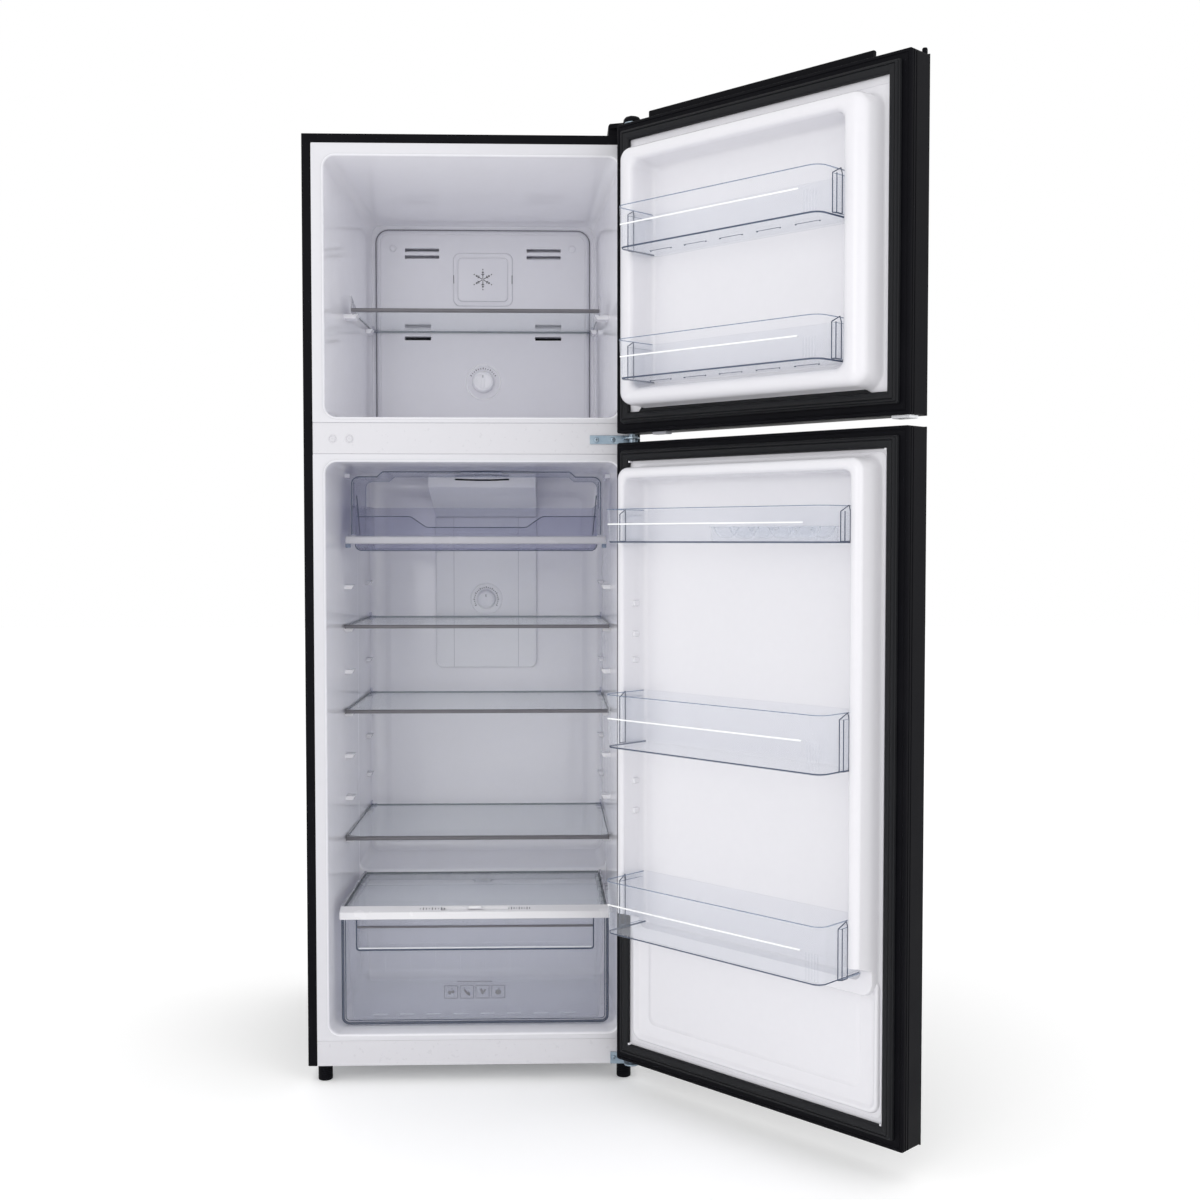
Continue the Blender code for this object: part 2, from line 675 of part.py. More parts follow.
def chiller_tray(frame):
    """Clear tray hung by its lips, its front edge dipped in the middle."""
    wall = 0.0022

    def outline(shrink):
        return rounded(-CHILLER_HALF + shrink, CHILLER_HALF - shrink, CHILLER_FRONT + shrink,
                       CHILLER_BACK - shrink, 0.012 - shrink / 2, 2)

    rings = [
        level(outline(0.0015), CHILLER_FLOOR), level(outline(0.0), CHILLER_RIM),
        level(outline(wall), CHILLER_RIM), level(outline(wall + 0.0015), CHILLER_FLOOR + wall),
    ]
    item = make_object("chiller_tray", loft(rings), frame, "clear_plastic")
    lip = mirrored_boxes(CHILLER_HALF - 0.001, 0.2315, CHILLER_FRONT + 0.014, CHILLER_BACK - 0.014,
                         CHILLER_RIM - 0.002, CHILLER_RIM)
    fuse(item, lip)
    dip = [
        (-0.214, 1.060), (-0.214, 1.026), (-0.125, 1.026), (-0.090, 1.0055),
        (0.090, 1.0055), (0.125, 1.026), (0.214, 1.026), (0.214, 1.060),
    ]
    cut(item, loft([upright(dip, CHILLER_FRONT - 0.01), upright(dip, CHILLER_FRONT + 0.006)]))
    return item


def chiller_handle(frame):
    bar = rounded(CHILLER_FRONT - 0.012, CHILLER_FRONT - GAP, 0.9745, 0.989, 0.003, 2)
    shape = loft([sideways(bar, -0.2435), sideways(bar, 0.2435)])
    return make_object("chiller_handle", shape, frame, "light_trim")


# Machinery

def compressor(frame):
    """Welded two-part can on a mounting plate with four rubber bosses."""
    profile = [
        (0.55, 0.0465), (0.85, 0.052), (1.0, 0.080), (1.0, 0.114), (1.04, 0.115), (1.04, 0.120),
        (1.0, 0.121), (0.96, 0.160), (0.75, 0.192), (0.30, 0.205), (0.05, 0.206),
    ]
    stretch = Matrix.Diagonal((0.088, 0.070, 1.0, 1.0))
    place = Matrix.Translation((COMPRESSOR_X, COMPRESSOR_Y, 0.0))
    item = make_object("compressor", moved(turned(profile, 20), place @ stretch), frame,
                       "compressor_paint")
    plate = rounded(COMPRESSOR_X - 0.100, COMPRESSOR_X + 0.100, COMPRESSOR_Y - 0.066,
                    COMPRESSOR_Y + 0.066, 0.015, 2)
    fuse(item, loft([level(plate, 0.0450), level(plate, 0.0480)]))
    boss = turned([(0.010, 0.0328), (0.010, 0.0460)], 10)
    for x in (-0.084, 0.084):
        for y in (-0.050, 0.050):
            fuse(item, shifted(boss, COMPRESSOR_X + x, COMPRESSOR_Y + y, 0.0))
    fuse(item, box(COMPRESSOR_X + 0.070, COMPRESSOR_X + 0.122, COMPRESSOR_Y - 0.030,
                   COMPRESSOR_Y + 0.030, 0.085, 0.150))
    return item


def compressor_rail(frame):
    """Cross plate that carries the compressor, with hanging ears and pins for the rollers."""
    front = MACHINE_ROOM_FRONT + SHEET + GAP
    shape = box(-0.285, 0.285, front, 0.592, 0.0310, 0.0325)
    item = make_object("compressor_rail", shape, frame, "grey_steel")
    for side in (-1, 1):
        for offset in (-0.0115, 0.0115):
            x = side * ROLLER_X + offset
            fuse(item, box(x - 0.001, x + 0.001, ROLLER_Y - 0.008, ROLLER_Y + 0.008, 0.008, 0.0315))
        pin = turned([(0.003, -0.0112), (0.003, 0.0112)], 10)
        fuse(item, facing_side(pin, side * ROLLER_X, ROLLER_Y, ROLLER_RADIUS))
    return item


def rear_roller(frame, name, x):
    profile = [
        (0.0035, -0.009), (0.0125, -0.009), (ROLLER_RADIUS, -0.007),
        (ROLLER_RADIUS, 0.007), (0.0125, 0.009), (0.0035, 0.009),
    ]
    shape = facing_side(turned(profile, 20, True), 0, 0, 0)
    return make_object(name, shape, frame, "tyre_plastic", (x, ROLLER_Y, ROLLER_RADIUS))


def front_foot(frame, name, x):
    """Round levelling foot on a threaded stem."""
    profile = [(0.010, 0.0), (0.013, 0.0025), (0.013, 0.025), (0.011, 0.0295), (0.004, 0.0297),
               (0.004, 0.0500)]
    return make_object(name, turned(profile, 16), frame, "black_plastic", (x, FOOT_Y, 0.0))


def condenser_coil(frame):
    route = serpentine(-0.240, -0.055, 0.500, 0.075, 0.026, 7)
    return make_object("condenser_coil", tube(route, 0.0025, (0, 1, 0)), frame, "copper")


def machine_room_cover(frame):
    back = DEPTH + GAP
    outline = rounded(-0.286, 0.286, 0.036, 0.262, 0.004, 2)
    shape = loft([upright(outline, back), upright(outline, back + SHEET)])
    item = make_object("machine_room_cover", shape, frame, "grey_steel")
    slots = []
    for i in range(6):
        z = 0.080 + 0.026 * i
        slots.append(mirrored_boxes(0.060, 0.220, back - 0.01, back + 0.01, z, z + 0.008))
    cut(item, combine(*slots))
    return item


# Hinges

def pin_leaf(z0, z1, back_y):
    """Level leaf from the cabinet front to a round end about the hinge pin."""
    radius = 0.0135
    outline = arc(PIN_X, PIN_Y, radius, 180, 360, 6)
    outline += [(PIN_X + radius, back_y), (PIN_X - radius, back_y)]
    return loft([level(outline, z0), level(outline, z1)])


def hinge_pin(z0, z1):
    return shifted(turned([(HINGE_PIN_RADIUS, z0), (HINGE_PIN_RADIUS, z1)], 12), PIN_X, PIN_Y, 0.0)


def top_hinge(frame):
    """Plate on the cabinet's top, stepped up over the freezer door, with a pin pointing down."""
    item = make_object("top_hinge", box(0.262, 0.2955, 0.012, 0.086, TOP + GAP, TOP + 0.0028), frame,
                       "zinc_steel")
    fuse(item, box(0.2702, 0.2955, 0.012, 0.0145, TOP + 0.0020, TOP + 0.0130))
    fuse(item, pin_leaf(TOP + 0.0105, TOP + 0.0130, 0.0140))
    fuse(item, hinge_pin(TOP - 0.0005, TOP + 0.0110))
    return item


def top_hinge_cover(frame):
    """Plastic cap over the top hinge."""
    lower, middle, upper = TOP + GAP, TOP + 0.0136, TOP + 0.0220
    outline = arc(PIN_X, PIN_Y, 0.0152, 180, 360, 6)
    outline += [(0.2989, 0.090), (0.2430, 0.090), (0.2430, 0.008), (0.2685, -0.006)]
    inset = [(x + (0.0025 if x < PIN_X else -0.0025), y) for x, y in outline]
    inset = [(x, y + (0.0025 if y < 0 else -0.0025)) for x, y in inset]
    rings = [level(outline, middle), level(outline, upper - 0.004), level(inset, upper)]
    item = make_object("top_hinge_cover", loft(rings), frame, "black_plastic")
    outer = rounded(0.2430, 0.2989, 0.008, 0.090, 0.001, 2)
    inner = rounded(0.2450, 0.2976, 0.0105, 0.088, 0.001, 2)
    skirt = loft([level(outer, lower), level(outer, middle + 0.001), level(inner, middle + 0.001),
                  level(inner, lower)], True)
    cut_front = box(0.2690, 0.2986, 0.000, 0.0108, TOP - 0.001, middle)
    fuse(item, skirt)
    cut(item, cut_front)
    return item


def screw_heads(places, y):
    head = turned([(0.0045, -0.0005), (0.0045, 0.0012), (0.0030, 0.0022)], 10)
    return [facing_front(head, x, y, z) for x, z in places]


def front_plate(name, frame, x0, z0, z1, screws):
    """Zinc plate on the cabinet's front face, fixed with two screws."""
    face = -GAP - 0.0025
    item = make_object(name, box(x0, 0.2960, face, -GAP, z0, z1), frame, "zinc_steel")
    fuse(item, *screw_heads(screws, face))
    return item


def middle_hinge(frame):
    """Plate on the centre rail with a leaf between the doors and a pin for each of them."""
    item = front_plate("middle_hinge", frame, 0.210, 1.1535, 1.1690, ((0.2215, 1.161), (0.251, 1.161)))
    fuse(item, pin_leaf(1.1605, 1.1635, -0.0010))
    fuse(item, hinge_pin(1.146, 1.177))
    return item


def bottom_hinge(frame):
    """Bracket on the toe plate that carries the lower door."""
    item = front_plate("bottom_hinge", frame, 0.247, BOTTOM, 0.0515, ((0.2535, 0.041), (0.2645, 0.041)))
    fuse(item, pin_leaf(0.040, 0.043, -0.0010))
    fuse(item, hinge_pin(0.0415, 0.0600))
    return item


# Doors, drawn closed

def door_panel(name, door, z0, z1):
    """Flat front sheet of a door."""
    radius = PANEL_THICKNESS - 0.0004
    outline = rounded(-HALF, HALF, DOOR_OUTER_Y, DOOR_OUTER_Y + PANEL_THICKNESS,
                      (radius, 0.0003, 0.0003, radius), 2)
    return make_object(name, loft([level(outline, z0), level(outline, z1)]), door, "black_steel")


def door_frame(name, door, z0, z1):
    """Moulded frame round a door's edge, with a bore for the hinge pin above and below."""
    front = DOOR_OUTER_Y + PANEL_THICKNESS + GAP
    lip = HALF - FLANGE_HALF - 2 * GAP

    def outline(inset, radius):
        return rounded(-HALF + inset, HALF - inset, z0 + inset, z1 - inset, radius, 2)

    section = ((0.0, front, 0.003), (0.0, DOOR_INNER_Y, 0.003), (lip, DOOR_INNER_Y, 0.001),
               (lip, DOOR_INNER_Y - PLASTIC, 0.001), (FRAME_WALL, DOOR_INNER_Y - PLASTIC, 0.001),
               (FRAME_WALL, front, 0.001))
    rings = [upright(outline(inset, radius), y) for inset, y, radius in section]
    item = make_object(name, loft(rings, True), door, "black_plastic")
    bore = turned([(HINGE_PIN_RADIUS + 0.0006, z0 - 0.01), (HINGE_PIN_RADIUS + 0.0006, z1 + 0.01)], 12)
    cut(item, shifted(bore, PIN_X, PIN_Y, 0.0))
    return item


def door_foam(name, door, z0, z1):
    edge = FRAME_WALL + GAP
    front = DOOR_OUTER_Y + PANEL_THICKNESS + GAP
    shape = box(-HALF + edge, HALF - edge, front, DOOR_INNER_Y - PLASTIC - GAP, z0 + edge, z1 - edge)
    return make_object(name, shape, door, "foam")


def gasket(name, door, z0, z1):
    """Magnetic seal in a closed ring round the liner."""
    outer = rounded(-FLANGE_HALF - 0.0003, FLANGE_HALF + 0.0003, z0 + 0.016, z1 - 0.014, 0.003, 2)
    inner = rounded(-0.265, 0.265, z0 + 0.035, z1 - 0.033, 0.002, 2)
    back, front = DOOR_INNER_Y + GAP, -0.0006
    mid_outer = [(x * 0.996, z) for x, z in outer]
    rings = [upright(outer, back), upright(mid_outer, front), upright(inner, front - 0.002),
             upright(inner, back)]
    return make_object(name, loft(rings, True), door, "gasket_rubber")


def dyke_outline(half, bottom, top, radius, bend_z):
    """Outline of the raised border, with one more point on each side at bend_z."""
    outline = rounded(-half, half, bottom, top, radius)
    quarter = len(outline) // 4
    right, left = (half, bend_z), (-half, bend_z)
    return outline[:quarter] + [right] + outline[quarter:3 * quarter] + [left] + outline[3 * quarter:]


def door_liner(name, door, z0, z1, dyke_bottom, dyke_top, border, border_z, bend_z, low_y):
    """Thin drawn liner with a raised border that fits inside the cabinet's mouth.

    The border is border wide at the sides and border_z at top and bottom. Below bend_z it
    falls to the depth low_y.
    """
    flange = dyke_outline(FLANGE_HALF, z0 + 0.0165, z1 - 0.0165, 0.002, bend_z)
    outer, inner = 0.251, 0.251 - border

    def ring(half, inset, radius, y, back):
        outline = dyke_outline(half, dyke_bottom + inset, dyke_top - inset, radius, bend_z)
        return [(x, (y if z >= bend_z - 1e-6 else min(y, low_y)) - back, z) for x, z in outline]

    def side(back):
        sink = 0.0008 if back else 0.0
        return [
            ring(outer - sink, sink, 0.020, DOOR_INNER_Y, back),
            ring(outer - 0.002 - sink, 0.002 + sink, 0.018, DYKE_TOP_Y - 0.006, back),
            ring(outer - 0.007, 0.007, 0.014, DYKE_TOP_Y, back),
            ring(inner + 0.006, border_z - 0.006, 0.012, DYKE_TOP_Y, back),
            ring(inner + 0.001 + sink, border_z - 0.001 - sink, 0.010, DYKE_TOP_Y - 0.006, back),
            ring(inner - 0.004 + sink, border_z + 0.004 - sink, 0.010, DOOR_FLOOR_Y, back),
        ]

    rings = list(reversed(side(0.0)))
    rings += [upright(flange, DOOR_INNER_Y), upright(flange, DOOR_INNER_Y - PLASTIC)]
    rings += side(PLASTIC)
    return make_object(name, loft(rings), door, "white_plastic")


def door_bin(name, door, z0, z1, half, front, slots=False):
    """Clear open box on the door liner, narrower at its floor by the taper."""
    wall, taper = 0.0022, 0.004
    back = DOOR_FLOOR_Y + GAP

    def outline(shrink, rear):
        corner = BIN_CORNER - shrink / 2
        return rounded(-half + shrink, half - shrink, rear, front - shrink, (0.003, corner, corner, 0.003))

    rings = [
        level(outline(taper, back), z0), level(outline(0.0, back), z1),
        level(outline(wall, back + wall), z1), level(outline(taper + wall, back + wall), z0 + wall),
    ]
    item = make_object(name, loft(rings), door, "clear_plastic")
    if slots:
        cutters = []
        for i in range(5):
            x = half * 0.36 * (i - 2)
            cutters.append(box(x - 0.022, x + 0.022, 0.036, 0.041, z0 - 0.01, z0 + 0.01))
        cut(item, combine(*cutters))
    return item


def egg_tray(door):
    def outline(shrink):
        return rounded(-0.196 + shrink, 0.004 - shrink, 0.010 + shrink, 0.088 - shrink, 0.010, 2)

    floor = FRIDGE_BINS[0][0] + 0.003
    rings = [level(outline(0.004), floor), level(outline(0.0), floor + 0.026),
             level(outline(0.0018), floor + 0.026), level(outline(0.0058), floor + 0.002)]
    return make_object("egg_tray", loft(rings), door, "clear_plastic")


def freezer_door(door):
    z0, z1 = FREEZER_DOOR
    door_panel("freezer_door_panel", door, z0, z1)
    edge = door_frame("freezer_door_frame", door, z0, z1)
    rib_y = DOOR_OUTER_Y + PANEL_THICKNESS + 2 * GAP
    fuse(edge, box(-0.206, 0.260, rib_y, rib_y + 0.009, z1 - 0.002, RIB_TOP))
    door_foam("freezer_door_foam", door, z0, z1)
    door_liner("freezer_door_liner", door, z0, z1, 1.2125, 1.650, 0.036, 0.028, 1.300,
               DYKE_TOP_Y)
    gasket("freezer_door_gasket", door, z0, z1)
    for name, (low, high) in zip(("upper", "lower"), FREEZER_BINS):
        door_bin(f"freezer_bin_{name}", door, low, high, FREEZER_BIN_HALF, FREEZER_BIN_FRONT, True)


def fridge_door(door):
    z0, z1 = FRIDGE_DOOR
    door_panel("fridge_door_panel", door, z0, z1)
    door_frame("fridge_door_frame", door, z0, z1)
    door_foam("fridge_door_foam", door, z0, z1)
    door_liner("fridge_door_liner", door, z0, z1, 0.285, 1.106, 0.0185, 0.0185, 0.335, 0.004)
    gasket("fridge_door_gasket", door, z0, z1)
    for name, (low, high) in zip(("top", "middle", "bottom"), FRIDGE_BINS):
        door_bin(f"fridge_bin_{name}", door, low, high, FRIDGE_BIN_HALF, FRIDGE_BIN_FRONT)
    egg_tray(door)


def open_extent():
    """Lowest and highest x and y of the object with both doors open."""
    spin = Matrix.Rotation(DOOR_OPEN, 2)
    pin = Vector((PIN_X, PIN_Y))
    door = ((-HALF, DOOR_OUTER_Y), (-HALF, DOOR_INNER_Y))
    corners = [pin + spin @ (Vector(p) - pin) for p in door]
    bin_corner = Vector((BIN_CORNER - FRIDGE_BIN_HALF, FRIDGE_BIN_FRONT - BIN_CORNER))
    foremost = (pin + spin @ (bin_corner - pin)).y - BIN_CORNER
    back = DEPTH + GAP + SHEET
    xs = [-HALF] + [p.x for p in corners]
    ys = [back, foremost] + [p.y for p in corners]
    return (min(xs) + max(xs)) / 2, (min(ys) + max(ys)) / 2


def build():
    clear_scene()
    middle_x, middle_y = open_extent()
    frame = make_empty("frame", (-middle_x, -middle_y, 0.0))
    for piece in (outer_shell, back_panel, base_panel, freezer_liner, fridge_liner, cabinet_foam,
                  centre_rail_cover, toe_plate, evaporator_cover, evaporator_coil, fan_motor, fan_blade,
                  defrost_heater, freezer_shelf, fridge_shelves, air_duct_cover, lamp_lens,
                  crisper_cover, humidity_slider, crisper_drawer, chiller_housing, chiller_tray,
                  chiller_handle, compressor, compressor_rail, condenser_coil,
                  machine_room_cover, top_hinge, top_hinge_cover, middle_hinge, bottom_hinge):
        piece(frame)
    dial("freezer_dial", frame, COVER_Y, FREEZER_DIAL_Z, 0.022)
    dial("fridge_dial", frame, DUCT_FACE, FRIDGE_DIAL_Z, 0.020)
    for side, sign in (("left", -1), ("right", 1)):
        front_foot(frame, f"front_foot_{side}", sign * FOOT_X)
        rear_roller(frame, f"rear_roller_{side}", sign * ROLLER_X)
    for name, pieces in (("freezer_door_axis", freezer_door), ("fridge_door_axis", fridge_door)):
        axis = make_empty(name, (PIN_X, PIN_Y, 0.0), frame, DOOR_OPEN)
        pieces(make_empty(name.replace("axis", "closed_place"), (-PIN_X, -PIN_Y, 0.0), axis))


build()
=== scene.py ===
"""Looks of a top-freezer refrigerator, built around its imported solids.

Cabinet pieces are drawn in cabinet coordinates: x runs to the right of a person facing the
open front, y from the front plane to the back, z up from the floor. Door pieces are drawn in
the same coordinates with the door closed, and DOOR turns them to the open rest position.
"""

import json
from math import atan, cos, pi, radians, sin

import bmesh
import bpy
from mathutils import Matrix, Vector

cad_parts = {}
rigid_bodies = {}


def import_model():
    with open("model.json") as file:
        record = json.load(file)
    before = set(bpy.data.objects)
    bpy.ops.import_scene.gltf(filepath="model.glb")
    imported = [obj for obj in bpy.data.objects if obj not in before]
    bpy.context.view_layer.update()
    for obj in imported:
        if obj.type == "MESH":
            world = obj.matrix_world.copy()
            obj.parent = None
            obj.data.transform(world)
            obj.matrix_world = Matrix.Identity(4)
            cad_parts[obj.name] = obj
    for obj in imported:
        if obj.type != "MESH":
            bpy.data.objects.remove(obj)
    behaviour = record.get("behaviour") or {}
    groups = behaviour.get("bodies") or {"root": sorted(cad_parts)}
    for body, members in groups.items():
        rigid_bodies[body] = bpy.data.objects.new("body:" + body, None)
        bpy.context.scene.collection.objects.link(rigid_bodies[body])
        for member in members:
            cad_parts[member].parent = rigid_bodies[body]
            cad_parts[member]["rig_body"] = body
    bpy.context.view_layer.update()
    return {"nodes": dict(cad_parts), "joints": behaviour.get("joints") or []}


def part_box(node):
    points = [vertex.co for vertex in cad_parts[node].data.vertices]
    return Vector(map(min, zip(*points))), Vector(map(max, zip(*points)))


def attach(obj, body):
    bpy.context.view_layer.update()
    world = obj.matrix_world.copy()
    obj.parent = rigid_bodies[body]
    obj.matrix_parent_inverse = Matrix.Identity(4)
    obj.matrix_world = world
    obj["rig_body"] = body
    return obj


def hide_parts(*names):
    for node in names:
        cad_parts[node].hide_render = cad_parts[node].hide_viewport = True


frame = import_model()

# Places read from the frame
shell_low, shell_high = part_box("outer_shell")
HALF = (shell_high.x - shell_low.x) / 2
ORIGIN = Vector(((shell_low.x + shell_high.x) / 2, shell_low.y, 0.0))
hinge = next(j for j in frame["joints"] if j["name"] == "fridge_door_hinge")
PIN = Vector((hinge["pos_m"][0], hinge["pos_m"][1], 0.0))
OPEN_ANGLE = radians(-hinge["range_deg"][0])
CABINET = Matrix.Translation(ORIGIN)
DOOR = Matrix.Translation(PIN) @ Matrix.Rotation(OPEN_ANGLE, 4, "Z") @ Matrix.Translation(ORIGIN - PIN)
PIN_X = PIN.x - ORIGIN.x
PIN_Y = PIN.y - ORIGIN.y


def place_of(body):
    return DOOR if body in ("freezer_door", "fridge_door") else CABINET


def vertices_of(node):
    """A CAD node's vertices in cabinet coordinates, doors closed."""
    item = frame["nodes"][node]
    inverse = place_of(item["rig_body"]).inverted()
    return [inverse @ v.co for v in item.data.vertices]


def span(node):
    """Lowest and highest corner of a CAD node in cabinet coordinates, doors closed."""
    points = vertices_of(node)
    low = Vector([min(p[i] for p in points) for i in range(3)])
    high = Vector([max(p[i] for p in points) for i in range(3)])
    return low, high


# Shapes: points, faces and a material index for each face

def rounded(u0, u1, v0, v1, radius, steps=6):
    """A rectangle with round corners, anticlockwise; radius is one value or four,
    for the corners (u1, v0), (u1, v1), (u0, v1) and (u0, v0)."""
    radii = radius if isinstance(radius, tuple) else (radius,) * 4
    corners = (
        (u1 - radii[0], v0 + radii[0]),
        (u1 - radii[1], v1 - radii[1]),
        (u0 + radii[2], v1 - radii[2]),
        (u0 + radii[3], v0 + radii[3]),
    )
    outline = []
    for turn, (cu, cv) in enumerate(corners):
        for step in range(steps + 1):
            angle = pi / 2 * (turn - 1 + step / steps)
            outline.append((cu + radii[turn] * cos(angle), cv + radii[turn] * sin(angle)))
    return outline


def arc(cx, cy, radius, start, end, steps):
    """Points along an arc, with angles in degrees."""
    angles = [radians(start + (end - start) * i / steps) for i in range(steps + 1)]
    return [(cx + radius * cos(a), cy + radius * sin(a)) for a in angles]


def quarter_turn(steps=6):
    """Sine and cosine at even steps through a quarter turn."""
    angles = [pi / 2 * i / steps for i in range(steps + 1)]
    return [(sin(a), cos(a)) for a in angles]


def flipped(points):
    """Points carried over to the other side, in reverse order."""
    return [(-u, v) for u, v in reversed(points)]


def upright(outline, y):
    return [(u, y, v) for u, v in outline]


def level(outline, z):
    return [(u, v, z) for u, v in outline]


def sideways(outline, x):
    return [(x, u, v) for u, v in outline]


def loft(rings, loop=False, tags=None, cap=0, ends=(0, 1)):
    """Join rings of equally many points; tags gives each band's material index,
    ends says whether the first (0) and last (1) rings are closed."""
    count = len(rings[0])
    points = [p for ring in rings for p in ring]
    spans = [(i, i + 1) for i in range(len(rings) - 1)]
    if loop:
        spans.append((len(rings) - 1, 0))
    tags = tags or [0] * len(spans)
    faces, marks = [], []
    for (a, b), tag in zip(spans, tags):
        for i in range(count):
            j = (i + 1) % count
            faces.append((a * count + i, a * count + j, b * count + j, b * count + i))
            marks.append(tag)
    closings = () if loop else ends
    for end in closings:
        start = end * (len(rings) - 1) * count
        faces.append(tuple(start + i for i in range(count)))
        marks.append(cap)
    return points, faces, marks


def extrude_x(outline, x0, x1):
    return loft([sideways(outline, x0), sideways(outline, x1)])


def extrude_y(outline, y0, y1):
    return loft([upright(outline, y0), upright(outline, y1)])


def extrude_z(outline, z0, z1):
    return loft([level(outline, z0), level(outline, z1)])


def soft_bar(outline, x0, x1, soft, reach):
    """A bar along x whose ends are set in by soft over a length of reach."""
    inner = inset(outline, soft)
    return loft([sideways(inner, x0), sideways(outline, x0 + reach), sideways(outline, x1 - reach),
                 sideways(inner, x1)])


def soft_block(outline, z0, z1, soft, tag=0):
    """A block along z whose top and bottom edges are taken off by soft; tag marks its sides."""
    inner = inset(outline, soft)
    rings = [level(inner, z0), level(outline, z0 + soft), level(outline, z1 - soft), level(inner, z1)]
    return loft(rings, tags=[tag] * 3)


def box(x0, x1, y0, y1, z0, z1, tag=0):
    outline = [(x0, y0), (x1, y0), (x1, y1), (x0, y1)]
    return loft([level(outline, z0), level(outline, z1)], tags=[tag], cap=tag)


def combine(*shapes):
    points, faces, marks = [], [], []
    for shape_points, shape_faces, shape_marks in shapes:
        base = len(points)
        points += shape_points
        faces += [tuple(base + i for i in face) for face in shape_faces]
        marks += shape_marks
    return points, faces, marks


def moved(shape, matrix):
    points, faces, marks = shape
    return [tuple(matrix @ Vector(p)) for p in points], faces, marks


def shifted(shape, x, y, z):
    return moved(shape, Matrix.Translation((x, y, z)))


def mirrored(shape):
    """A shape with its twin on the other side of the cabinet."""
    points, faces, marks = shape
    twin = [(-x, y, z) for x, y, z in points], [tuple(reversed(f)) for f in faces], list(marks)
    return combine(shape, twin)


def turned(profile, steps, loop=False):
    """Turn (radius, height) points about the z axis."""
    angles = [2 * pi * i / steps for i in range(steps)]
    rings = [[(r * cos(a), r * sin(a), h) for a in angles] for r, h in profile]
    return loft(rings, loop)


def facing_front(shape, x, y, z):
    """Lay a turned shape's axis along y, its height running towards the front."""
    return moved(shape, Matrix.Translation((x, y, z)) @ Matrix.Rotation(pi / 2, 4, "X"))


def facing_side(shape, x, y, z):
    return moved(shape, Matrix.Translation((x, y, z)) @ Matrix.Rotation(pi / 2, 4, "Y"))


def slab(outline, y0, y1, edge):
    """An upright plate from y0 (front) to y1, with its front edge rounded off."""
    inner = inset(outline, edge)
    return loft([upright(outline, y1), upright(outline, y0 + edge), upright(inner, y0)])


def inset(outline, distance):
    """An anticlockwise outline moved inwards by a distance."""
    count = len(outline)
    result = []
    for i in range(count):
        before, here, after = (Vector(outline[k % count]) for k in (i - 1, i, i + 1))
        first = (here - before).normalized() if (here - before).length > 1e-9 else Vector((0, 0))
        second = (after - here).normalized() if (after - here).length > 1e-9 else first
        first = first if first.length else second
        normals = Vector((-first.y, first.x)) + Vector((-second.y, second.x))
        normal = normals.normalized()
        scale = 1 / max(0.5, normal.dot(Vector((-first.y, first.x))))
        result.append(tuple(here + normal * distance * scale))
    return result


def tube(route, radius, sides=6, closed=False):
    """A round bar along a route of points."""
    points = [Vector(p) for p in route]
    count = len(points)
    rings = []
    normal = None
    for i, place in enumerate(points):
        ahead = points[(i + 1) % count] if closed or i < count - 1 else place
        behind = points[i - 1] if closed or i > 0 else place
        along = (ahead - behind).normalized()
        if normal is None:
            normal = along.orthogonal().normalized()
        normal = (normal - along * normal.dot(along)).normalized()
        aside = along.cross(normal)
        angles = [2 * pi * k / sides for k in range(sides)]
        rings.append([tuple(place + radius * (cos(a) * normal + sin(a) * aside)) for a in angles])
    return loft(rings, closed)


# Materials

EVEN = (1, 1, 1)
FACING_POWER = 2.5
CLEAR_PATCH = 30.0


def new_material(name):
    material = bpy.data.materials.new(name)
    material.use_nodes = True
    return material, material.node_tree.nodes, material.node_tree.links


def noise_node(nodes, links, scale, detail, stretch=EVEN):
    """Noise over object coordinates, so that it rides with its piece."""
    coordinates = nodes.new("ShaderNodeTexCoord")
    mapping = nodes.new("ShaderNodeMapping")
    mapping.inputs["Scale"].default_value = stretch
    texture = nodes.new("ShaderNodeTexNoise")
    texture.inputs["Scale"].default_value = scale
    texture.inputs["Detail"].default_value = detail
    links.new(coordinates.outputs["Object"], mapping.inputs["Vector"])
    links.new(mapping.outputs["Vector"], texture.inputs["Vector"])
    return texture


def ramp_between(nodes, links, source, low, high, start=0.3, end=0.7):
    """Map a value onto a number between low and high; start and end fit a noise value."""
    spread = nodes.new("ShaderNodeMapRange")
    spread.inputs["From Min"].default_value = start
    spread.inputs["From Max"].default_value = end
    spread.inputs["To Min"].default_value = low
    spread.inputs["To Max"].default_value = high
    links.new(source, spread.inputs["Value"])
    return spread.outputs["Result"]


def blend_colours(nodes, links, factor, first, second):
    mix = nodes.new("ShaderNodeMix")
    mix.data_type = "RGBA"
    mix.inputs["A"].default_value = (*first, 1.0)
    mix.inputs["B"].default_value = (*second, 1.0)
    links.new(factor, mix.inputs["Factor"])
    return mix.outputs["Result"]


def add_bumps(nodes, links, shader, bumps, grain):
    """bumps lists (scale, strength, distance); grain stretches the noise."""
    previous = None
    for scale, strength, distance in bumps:
        texture = noise_node(nodes, links, scale, 2.0, grain)
        bump = nodes.new("ShaderNodeBump")
        bump.inputs["Strength"].default_value = strength
        bump.inputs["Distance"].default_value = distance
        links.new(texture.outputs["Fac"], bump.inputs["Height"])
        if previous:
            links.new(previous.outputs["Normal"], bump.inputs["Normal"])
        previous = bump
    if previous:
        links.new(previous.outputs["Normal"], shader.inputs["Normal"])


